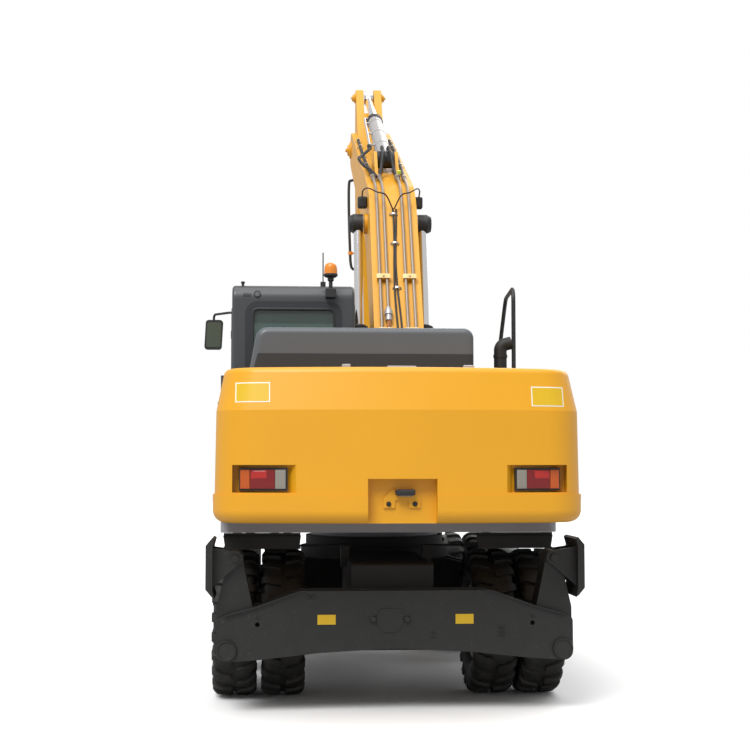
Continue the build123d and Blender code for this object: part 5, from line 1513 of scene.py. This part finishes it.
@dataclass
class CabTrim:
    """Window seals, beacon, mirror glass with a painted reflection, seat cushions and small fittings of the
    cab.
    """

    left_x: float = -1.171
    right_x: float = -0.164
    rear_y: float = -0.100
    rear_window: Outline = ((-1.000, 2.400), (-0.333, 2.400), (-0.333, 2.947), (-1.000, 2.947))
    right_window: Outline = ((0.010, 1.900), (1.440, 1.900), (1.270, 3.000), (0.010, 3.000))
    left_window: Outline = ((0.010, 2.010), (0.370, 2.010), (0.370, 2.960), (0.010, 2.960))
    door_window: Outline = ((0.500, 2.010), (1.420, 2.010), (1.270, 2.930), (0.500, 2.930))
    screen: Outline = ((-0.425, -0.560), (0.425, -0.560), (0.425, 0.690), (-0.425, 0.690))
    screen_place: Flat = (1.445, 2.425)
    screen_lean: Flat = (1.450, 0.230)
    beacon: Flat = (-0.365, -0.140)
    beacon_lens_z: float = 3.231
    seal: Outline = (
        (-0.010, -0.004), (0.010, -0.004), (0.010, 0.0048), (0.005, 0.008), (-0.005, 0.008), (-0.010, 0.0048),
    )
    border: Outline = ((-0.004, -0.002), (0.064, -0.002), (0.064, 0.002), (-0.004, 0.002))

    @property
    def middle(self) -> float:
        """The cab's middle across."""
        return (self.left_x + self.right_x) / 2

    @staticmethod
    def upright(outline: Outline, radius: float, axis: int, place: float) -> Array:
        """Rounded outline of an opening, with the coordinate square to it (0 x, 1 y) held at place."""
        return np.insert(rounded_path(outline, radius), axis, place, axis=1)

    def seals(self) -> Shape:
        """Seals round the rear, right, left front and screen windows, each carried round its opening."""
        rows = (
            (self.rear_window, 0.045, 1, self.rear_y, (0, -1, 0)),
            (self.right_window, 0.055, 0, self.right_x, (1, 0, 0)),
            (self.left_window, 0.050, 0, self.left_x, (-1, 0, 0)),
        )
        shapes = [
            moulding(self.upright(outline, radius, axis, place), normal, self.seal)
            for outline, radius, axis, place, normal in rows
        ]
        flat = rounded_path(self.screen, 0.055)
        lean = unit(np.array(self.screen_lean))
        y, z = self.screen_place
        rows = np.column_stack((self.middle + flat[:, 0], y + flat[:, 1] * lean[1], z - flat[:, 1] * lean[0]))
        shapes.append(moulding(rows, (0, lean[0], lean[1]), self.seal))
        return joined(shapes)

    def door_seal(self) -> Shape:
        """Seal round the door's glass."""
        return moulding(self.upright(self.door_window, 0.055, 0, self.left_x), (-1, 0, 0), self.seal)

    def door_handle(self) -> Shape:
        """Bow handle on the door, a bar that stands off on two curved ends."""
        rows = (
            (-1.168, 1.390, 1.780), (-1.205, 1.390, 1.780), (-1.214, 1.390, 1.810), (-1.214, 1.390, 1.900),
            (-1.205, 1.390, 1.930), (-1.168, 1.390, 1.930),
        )
        return tube(curve(rows, 30), 0.010, 10)

    def beacon_dome(self) -> Shape:
        """Orange dome with upright ribs: a turned profile whose radius carries a small cosine round it."""
        heights = np.array((0.0, 0.012, 0.040, 0.066, 0.082, 0.092, 0.097))
        radii = np.array((0.053, 0.053, 0.052, 0.049, 0.041, 0.026, 0.008))
        angle = np.linspace(0, 2 * np.pi, 72, endpoint=False)
        ripple = 1 + 0.018 * np.cos(24 * angle)[None, :] * (radii[:, None] > 0.045)
        r = radii[:, None] * ripple
        x, y = self.beacon
        z = np.broadcast_to(self.beacon_lens_z + heights[:, None], r.shape)
        shape = grid(np.stack((x + r * np.cos(angle), y + r * np.sin(angle), z), -1), wrap_v=True)
        shape.caps = end_caps(len(angle), len(heights))
        return shape.outward()

    def beacon_stand(self) -> Shape:
        """Base, stem and elbow of the beacon, turned about its axis."""
        rows = (
            (-0.126, 0.016), (-0.060, 0.016), (-0.052, 0.026), (-0.030, 0.026), (-0.024, 0.044),
            (-0.014, 0.057), (0.0, 0.058), (0.004, 0.054),
        )
        return lathe(rows, (*self.beacon, self.beacon_lens_z), (0, 0, 1), 36)

    def beacon_box(self) -> Shape:
        """Box behind the cab's roof that carries the beacon."""
        return block((self.beacon[0], -0.1403, 3.075), (0.086, 0.079, 0.080))

    def seat(self, shop: Workshop) -> None:
        """Seat cushions with sewn channels, on their pedestal.

        Args:
            shop: the workshop.
        """
        middle = self.middle
        foot = ((0.332, 1.3565), (0.728, 1.3565), (0.690, 1.690), (0.370, 1.690))
        pedestal = prism(foot, (middle - 0.16, 0.0, 0.0), (0, 1, 0), (0, 0, 1), 0.320)
        shop.add("seat_pedestal", pedestal, PLASTIC, "upper", ("seat",), bevel=0.015)
        rows = (
            ("seat_cushion", (middle, 0.555, 1.745), (0.247, 0.250, 0.063), 0.0),
            ("seat_back", (middle, 0.335, 2.110), (0.244, 0.060, 0.303), 6.4),
            ("seat_headrest", (middle, 0.262, 2.522), (0.137, 0.053, 0.112), 4.0),
        )
        for name, centre, half, lean in rows:
            shape = cushion(centre, half)
            local = shape.points - centre
            across = np.abs(local[:, 0]) / half[0]
            channel = np.exp(-(((across - 0.62) / 0.030) ** 2))
            shape.points[:, 1:] = np.asarray(centre)[1:] + local[:, 1:] * (1 - 0.12 * channel[:, None])
            shape = shape.turned(lean, (centre[1], centre[2] - half[2]))
            piece = shop.add(name, shape, CLOTH, "upper", ("seat",), sharp=80)
            piping = self.piping(centre, half).turned(lean, (centre[1], centre[2] - half[2]))
            shop.add(f"{name}_piping", piping, PLASTIC, "upper", sharp=60)

    @staticmethod
    def piping(centre: Point, half: Point) -> Shape:
        """Piping round a cushion's longest outline, along (a C(v), b S(v)) with the cushion's powers."""
        v = np.linspace(-np.pi, np.pi, 96, endpoint=False)
        cosine, sine = (signed_power(wave(v), CUSHION_POWER) for wave in (np.cos, np.sin))
        flat = half[1] > half[2]
        second = half[1] * sine if flat else half[2] * sine
        still = np.zeros_like(v)
        rows = np.stack((half[0] * cosine, second if flat else still, still if flat else second), -1)
        angle = np.linspace(0, 2 * np.pi, 8, endpoint=False)
        section = 0.0045 * np.stack((np.cos(angle), np.sin(angle)), -1)
        return moulding(rows * 0.994 + np.asarray(centre), (0, 0, 1) if flat else (0, -1, 0), section)

    def wiper(self) -> Shape:
        """Screen wiper: an arm from its pivot at the foot of the screen and a blade along the glass."""
        middle, lean = self.middle, unit(np.array(self.screen_lean))
        screen_y, screen_z = self.screen_place

        def screen(x: float, up: float, out: float) -> Point:
            """Point on the screen, across, up from its middle and out from its glass."""
            return (
                middle + x, screen_y - up * lean[1] + out * lean[0], screen_z + up * lean[0] + out * lean[1]
            )

        rows = (
            screen(0.30, -0.735, -0.004), screen(0.295, -0.715, 0.020), screen(0.26, -0.50, 0.024),
            screen(0.20, -0.16, 0.006), screen(0.19, -0.10, -0.006),
        )
        blade = np.array([screen(0.12 + 0.14 * t, -0.38 + 0.56 * t, -0.008) for t in np.linspace(0, 1, 12)])
        return tube(curve(rows, 30), 0.007, 8) + tube(blade, 0.0075, 6)

    def dress(self, shop: Workshop) -> None:
        """Puts the trim on the cab.

        Args:
            shop: the workshop.
        """
        shop.add("window_seals", self.seals(), HOSE, "upper", sharp=50)
        shop.add("door_glass_seal", self.door_seal(), HOSE, "cab_door", sharp=50)
        shop.add("door_handle", self.door_handle(), PLASTIC, "cab_door")
        shop.add("beacon_dome", self.beacon_dome(), BEACON, "upper", ("beacon",), sharp=60)
        shop.add("beacon_stand", self.beacon_stand(), PLASTIC, "upper", ("beacon",))
        shop.add("beacon_box", self.beacon_box(), PLASTIC, "upper", ("beacon",), bevel=0.008)
        self.seat(shop)
        shop.add("screen_wiper", self.wiper(), PLASTIC, "upper")
        # Mirror pane, coloured with a painted reflection
        glass = ((-1.452, 2.757), (-1.322, 2.757), (-1.312, 2.988), (-1.444, 2.988))
        flat = rounded_path(glass, 0.024)
        pane = prism(flat, (0.0, 1.4782, 0.0), (1, 0, 0), (0, 0, 1), 0.003)
        shop.add("mirror_pane", pane, MIRROR, "upper", sharp=30)
        rows = ((0.0, 0.011), (0.022, 0.011), (0.024, 0.017), (0.036, 0.017), (0.040, 0.012))
        shop.add("roof_knob", lathe(rows, (-1.085, 0.0, 3.144), (0, 0, 1), 16), PLASTIC, "upper")
        wall = Wall(shop.frame["nodes"]["cab_shell"])
        place, way = wall.seat((-0.965, RAY_START_Y, 3.070), (0, 1, 0))
        rows = ((0.0, 0.030), (0.008, 0.030), (0.012, 0.024), (0.008, 0.020))
        cap = lathe(rows, tuple(place), tuple(way), 24)
        shop.add("cab_wall_cap", cap, GREY, "upper")
        # A black patch stands for the slot in the wall: painted shade of its opening
        shop.add("cab_wall_slot_shade", wall.patch((-1.050, 3.066), (0.062, 0.024), 0.006), PLASTIC, "upper")
        rows = self.upright(self.rear_window, 0.045, 1, self.rear_y)
        shop.add("rear_window_border", moulding(rows, (0, -1, 0), self.border), SHADED, "upper", sharp=50)


@dataclass
class Underneath:
    """Pin caps, bolts, hitch, plates and treads of the stabilizer and the chassis."""

    beam_y: float = -2.200
    leg_pin: Flat = (1.135, 0.430)
    guard_edge: Flat = (-1.624, 1.168)
    tread_tops: Flat = (0.6249, 0.4049)

    def pin_caps(self) -> Shape:
        """Caps with a raised rim on the leg pins, turned about the pins."""
        rows = (
            (-0.001, 0.069), (0.019, 0.069), (0.024, 0.066), (0.024, 0.058), (0.018, 0.054),
            (0.0165, 0.030), (0.019, 0.012),
        )
        return joined([
            lathe(rows, (side * self.leg_pin[0], self.beam_y, self.leg_pin[1]), (0, -1, 0), 40)
            for side in (-1, 1)
        ])

    @staticmethod
    def fasteners(wall: Wall) -> Shape:
        """Bolts on the beam's face, by rows of x and z."""
        rows = (
            (0.024, ((-0.590, 0.782), (-0.556, 0.782))), (0.046, ((-0.152, 0.632), (0.075, 0.632))),
            (0.017, tuple((x, z) for x in (0.705, 0.730) for z in (0.575, 0.548, 0.521))),
            (0.014, tuple((x, z) for x in (0.245, 0.264) for z in (0.540, 0.512))),
            (0.014, ((-0.936, 0.652), (-0.922, 0.640), (0.922, 0.652), (0.936, 0.640))),
        )
        return joined([wall.bolt(x, z, size) for size, places in rows for x, z in places])

    def guard_lips(self) -> Shape:
        """Folded lips on top of the mudguard plates, each a bent strip carried across the machine."""
        section = ((-0.004, -0.006), (0.004, -0.006), (0.004, 0.015), (-0.004, 0.018))
        shapes = []
        for side in (-1, 1):
            rows = [(side * x, *self.guard_edge) for x in (0.632, 1.176)]
            shapes.append(moulding(rows, (0, 0, 1), section, closed=False))
        return joined(shapes)

    def hitch(self) -> Shape:
        """Cover plate of the tow hitch: a low raised plate with a rounded outline."""
        corners = (
            (-0.085, 0.545), (0.010, 0.545), (0.052, 0.600), (0.052, 0.660), (0.030, 0.702),
            (-0.105, 0.702), (-0.127, 0.660), (-0.127, 0.600),
        )
        outline = rounded_path(corners, 0.020)
        return prism(outline, (0.0, self.beam_y + 0.001, 0.0), (1, 0, 0), (0, 0, 1), 0.010)

    @staticmethod
    def beam_plates(wall: Wall) -> Shape:
        """Two small blank plates on the beam."""
        return joined([wall.patch((x, 0.630), (0.122, 0.065), 0.0022, 3) for x in (-0.466, 0.466)])

    def beam_lip(self) -> Shape:
        """Folded lips along the sloping tops of the beam's rear plate, each a bent strip."""
        shapes = []
        section = ((-0.004, -0.030), (0.004, -0.030), (0.006, 0.0), (-0.004, 0.004))
        for side in (-1, 1):
            rows = np.array([
                (side * x, self.beam_y + 0.006, z)
                for x, z in ((0.610, 0.823), (0.660, 0.815), (0.930, 0.719), (1.150, 0.659))
            ])
            shapes.append(moulding(rows if side > 0 else rows[::-1], (0, 1, 0), section, closed=False))
        return joined(shapes)

    def tread_studs(self) -> Shape:
        """Round studs on the step treads, each a short turned cone."""
        rows = ((0.0, 0.008), (0.005, 0.0065), (0.006, 0.004))
        places = [
            (side * (1.062 + 0.045 * i), -0.210 + 0.038 * j, high)
            for side in (-1, 1) for high in self.tread_tops for i in range(4) for j in range(11)
        ]
        return joined([lathe(rows, place, (0, 0, 1), 8) for place in places])

    def dress(self, shop: Workshop) -> None:
        """Puts the small pieces on the chassis.

        Args:
            shop: the workshop.
        """
        wall = Wall(shop.frame["nodes"]["stabilizer_beam"])
        shop.add("leg_pin_caps", self.pin_caps(), BLACK, "chassis")
        shop.add("beam_bolts", self.fasteners(wall), BLACK, "chassis")
        shop.add("beam_lips", self.beam_lip(), BLACK, "chassis")
        shop.add("mudguard_lips", self.guard_lips(), DARK, "chassis")
        shop.add("hitch_cover", self.hitch(), BLACK, "chassis")
        shop.add("beam_labels", self.beam_plates(wall), LABEL, "chassis", sharp=60)
        shop.add("tread_studs", self.tread_studs(), BLACK, "chassis")


@dataclass
class Covers:
    """Seam strip of the hood, a strip of painted shade on the hood's lower rear wall, and the exhaust's
    mouth.
    """

    stack: Flat = (0.826, -1.500)
    bend_radius: float = 0.045
    bend_degrees: float = 75.8
    bend_z: float = 2.505
    lining_z: float = 2.420
    lining_radii: Flat = (0.0396, 0.0368)
    band_heights: Flat = (2.330, 2.450)
    seam_z: float = 2.312
    # Heights, ends and lean of the strip of painted shade on the hood's rear wall
    shade_heights: Flat = (2.325, 2.452)
    shade_ends: Flat = (-0.974, 0.588)
    shade_lean: float = 0.27

    def exhaust_sleeve(self) -> Shape:
        """Rusty lining of the exhaust's mouth: a thin pipe wall carried up the stack and round its bend."""
        angle = np.radians(np.linspace(0, self.bend_degrees, 10))
        x = self.stack[0] + self.bend_radius * (1 - np.cos(angle))
        z = self.bend_z + self.bend_radius * np.sin(angle)
        bend = np.column_stack((x, np.full(10, self.stack[1]), z))
        way = np.array((math.sin(angle[-1]), 0.0, math.cos(angle[-1])))
        path = np.vstack(((*self.stack, self.lining_z), bend, bend[-1] + way * 0.049))
        sides = 28
        shells = [
            tube(path, radius, sides, capped=False).points.reshape(-1, sides, 3)
            for radius in self.lining_radii
        ]
        return grid(np.concatenate((shells[0], shells[1][::-1])), wrap_u=True, wrap_v=True).outward()

    def hood_painted_shade(self, wall: Wall) -> Shape:
        """Painted shade: a dark strip over the lower part of the hood's rear wall, where the wall rounds
        away; its left end leans in with the wall.
        """
        low, high = self.shade_heights
        start, end = self.shade_ends
        rows = []
        for z in np.linspace(low, high, 6):
            left = start + self.shade_lean * (z - low)
            seats = [wall.seat((x, RAY_START_Y, z), (0, 1, 0)) for x in np.linspace(left, end, 160)]
            rows.append([place + 0.003 * normal for place, normal in seats])
        return pad(np.array(rows), (0.0, 0.005, 0.0))

    def dress(self, shop: Workshop) -> None:
        """Puts the small pieces on the hood and the exhaust.

        Args:
            shop: the workshop.
        """
        corners = ((-1.004, -1.800), (0.594, -1.800), (0.594, -0.440), (-1.004, -0.440))
        flat = rounded_path(corners, 0.010, 3)
        rows = np.column_stack((flat, np.full(len(flat), self.seam_z)))
        shop.add("hood_seam", moulding(rows, (0, 0, 1), rectangle(0.004, 0.010)), HOSE, "hood")
        shop.add("exhaust_lining", self.exhaust_sleeve(), RUST, "upper")
        rows = ((0.0, 0.0465), (0.0, 0.0515), (0.022, 0.0515), (0.022, 0.0465))
        bands = [lathe(rows, (*self.stack, z), (0, 0, 1), 32, hollow=True) for z in self.band_heights]
        shop.add("exhaust_bands", joined(bands), DARK, "upper")
        wall = Wall(shop.frame["nodes"]["hood"])
        # A dark strip of painted shade on the hood's lower rear wall
        shop.add("hood_painted_shade", self.hood_painted_shade(wall), SHADED, "hood", sharp=30)


@dataclass
class Studio:
    """Plain pale floor, soft lights and the camera."""

    floor_half: float = 60.0
    sky: float = 0.50
    bounce: float = 0.42
    shine: float = 0.35

    def build(self, shop: Workshop) -> None:
        """Builds the stage.

        Args:
            shop: the workshop, for the floor's material.
        """
        ends = np.array((-self.floor_half, self.floor_half))
        xs, ys = np.meshgrid(ends, ends, indexing="ij")
        sheet = grid(np.stack((xs, ys, np.zeros_like(xs)), -1))
        mesh = bpy.data.meshes.new("studio_floor")
        mesh.from_pydata(sheet.points.tolist(), [], sheet.quads.tolist())
        mesh.materials.append(self._floor_paint(shop.paints.material(FLOOR)))
        floor = bpy.data.objects.new("studio_floor", mesh)
        bpy.context.scene.collection.objects.link(floor)
        bpy.context.scene.view_settings.view_transform = "Standard"
        self._world()
        for name, way, strength, width in (
            ("sun_key", (0.42, 0.74, -0.95), 2.20, 26.0),
            ("sun_top", (0.05, 0.22, -1.0), 1.65, 60.0),
            ("sun_front", (-0.45, -0.90, -0.55), 0.90, 40.0),
        ):
            self._sun(name, way, strength, width)
        camera = bpy.data.objects.new("camera", bpy.data.cameras.new("camera"))
        bpy.context.scene.collection.objects.link(camera)
        camera.data.lens = CAMERA_LENS
        camera.data.sensor_width = 36.0
        camera.data.clip_end = 300.0
        camera.location = CAMERA_PLACE
        camera.rotation_euler = (math.radians(90 + CAMERA_PITCH_UP), 0.0, math.radians(-CAMERA_YAW_RIGHT))
        bpy.context.scene.camera = camera

    def _floor_paint(self, material: bpy.types.Material) -> bpy.types.Material:
        """Makes the floor throw back less light than the camera sees, so that undersides stay dark.

        Args:
            material: the floor's material.

        Returns:
            The same material.
        """
        tree = material.node_tree
        seen = add_node(tree, "LightPath").outputs["Is Camera Ray"]
        feeds = {0: seen, 6: (self.bounce, self.bounce, self.bounce, 1.0), 7: (*FLOOR.tone.value, 1.0)}
        mix = add_node(tree, "Mix", feeds, data_type="RGBA")
        tree.links.new(mix.outputs[2], tree.nodes["Principled BSDF"].inputs["Base Color"])
        return material

    def _world(self) -> None:
        """Even pale light from all round, white to the camera and lighter to glossy rays."""
        world = bpy.data.worlds.new("studio_world")
        world.use_nodes = True
        tree = world.node_tree
        background = tree.nodes["Background"]
        background.inputs["Color"].default_value = (1.0, 1.0, 1.0, 1.0)
        path = add_node(tree, "LightPath").outputs
        feeds = {0: path["Is Glossy Ray"], 1: self.shine, 2: path["Is Camera Ray"]}
        seen = add_node(tree, "Math", feeds, operation="MULTIPLY_ADD", use_clamp=True)
        strength = add_node(tree, "Mix", {0: seen.outputs[0], 2: self.sky, 3: 1.0})
        tree.links.new(strength.outputs[0], background.inputs["Strength"])
        bpy.context.scene.world = world

    @staticmethod
    def _sun(name: str, way: Point, strength: float, width: float) -> None:
        """One soft distant light.

        Args:
            name: the light's name.
            way: the direction in which it shines.
            strength: its strength.
            width: its width in degrees, which softens its shadows.
        """
        light = bpy.data.lights.new(name, "SUN")
        light.energy = strength
        light.angle = math.radians(width)
        item = bpy.data.objects.new(name, light)
        bpy.context.scene.collection.objects.link(item)
        item.rotation_euler = Vector(way).to_track_quat("-Z", "Y").to_euler()


NODE_FINISHES: dict[Finish, tuple[str, ...]] = {
    AMBER: ("counterweight", "plate_bracket", "boom", "arm", "tipping_levers", "bucket_link"),
    GREY: (
        "cooler_housing", "pump_housing", "tank_housing", "door_cooler", "door_pump", "cab_shell",
        "cab_door",
    ),
    SLATE: ("hood",),
    BLACK: (
        "step_boxes", "stabilizer_beam", "stabilizer_leg_left", "stabilizer_leg_right",
        "stabilizer_pad_left", "stabilizer_pad_right", "handrail_right", "bucket",
    ),
    SKIRT: ("swing_frame",),
    CAST: ("front_axle", "rear_axle", "knuckle_left", "knuckle_right", "steering_cylinder", "engine"),
    DARK: ("chassis_frame", "mudguards", "slew_ring", "driveline", "exhaust"),
    CHROME: ("boom_cylinder_rods", "arm_cylinder_rod", "bucket_cylinder_rod", "steering_rod"),
    SILVER: ("boom_cylinder_tubes", "arm_cylinder_tube", "bucket_cylinder_tube"),
    RIM: ("rims_front_left", "rims_front_right", "rims_rear_left", "rims_rear_right"),
    PLASTIC: ("cab_controls", "antenna", "mirror_left", "tail_lamps"),
    GLASS: ("cab_glass", "cab_door_glass"),
}


def main() -> None:
    """Loads the frame, dresses it and sets up the studio."""
    logging.basicConfig(level=logging.INFO)
    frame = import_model()
    shop = Workshop(frame, Paintshop())
    for finish, nodes in NODE_FINISHES.items():
        for node in nodes:
            shop.paint(node, finish)
    for assembly in (Wheels(), Tail(), Hydraulics(), CabTrim(), Underneath(), Covers()):
        assembly.dress(shop)
        log.info("dressed with %s", type(assembly).__name__)
    Studio().build(shop)


if __name__ == "__main__":
    main()
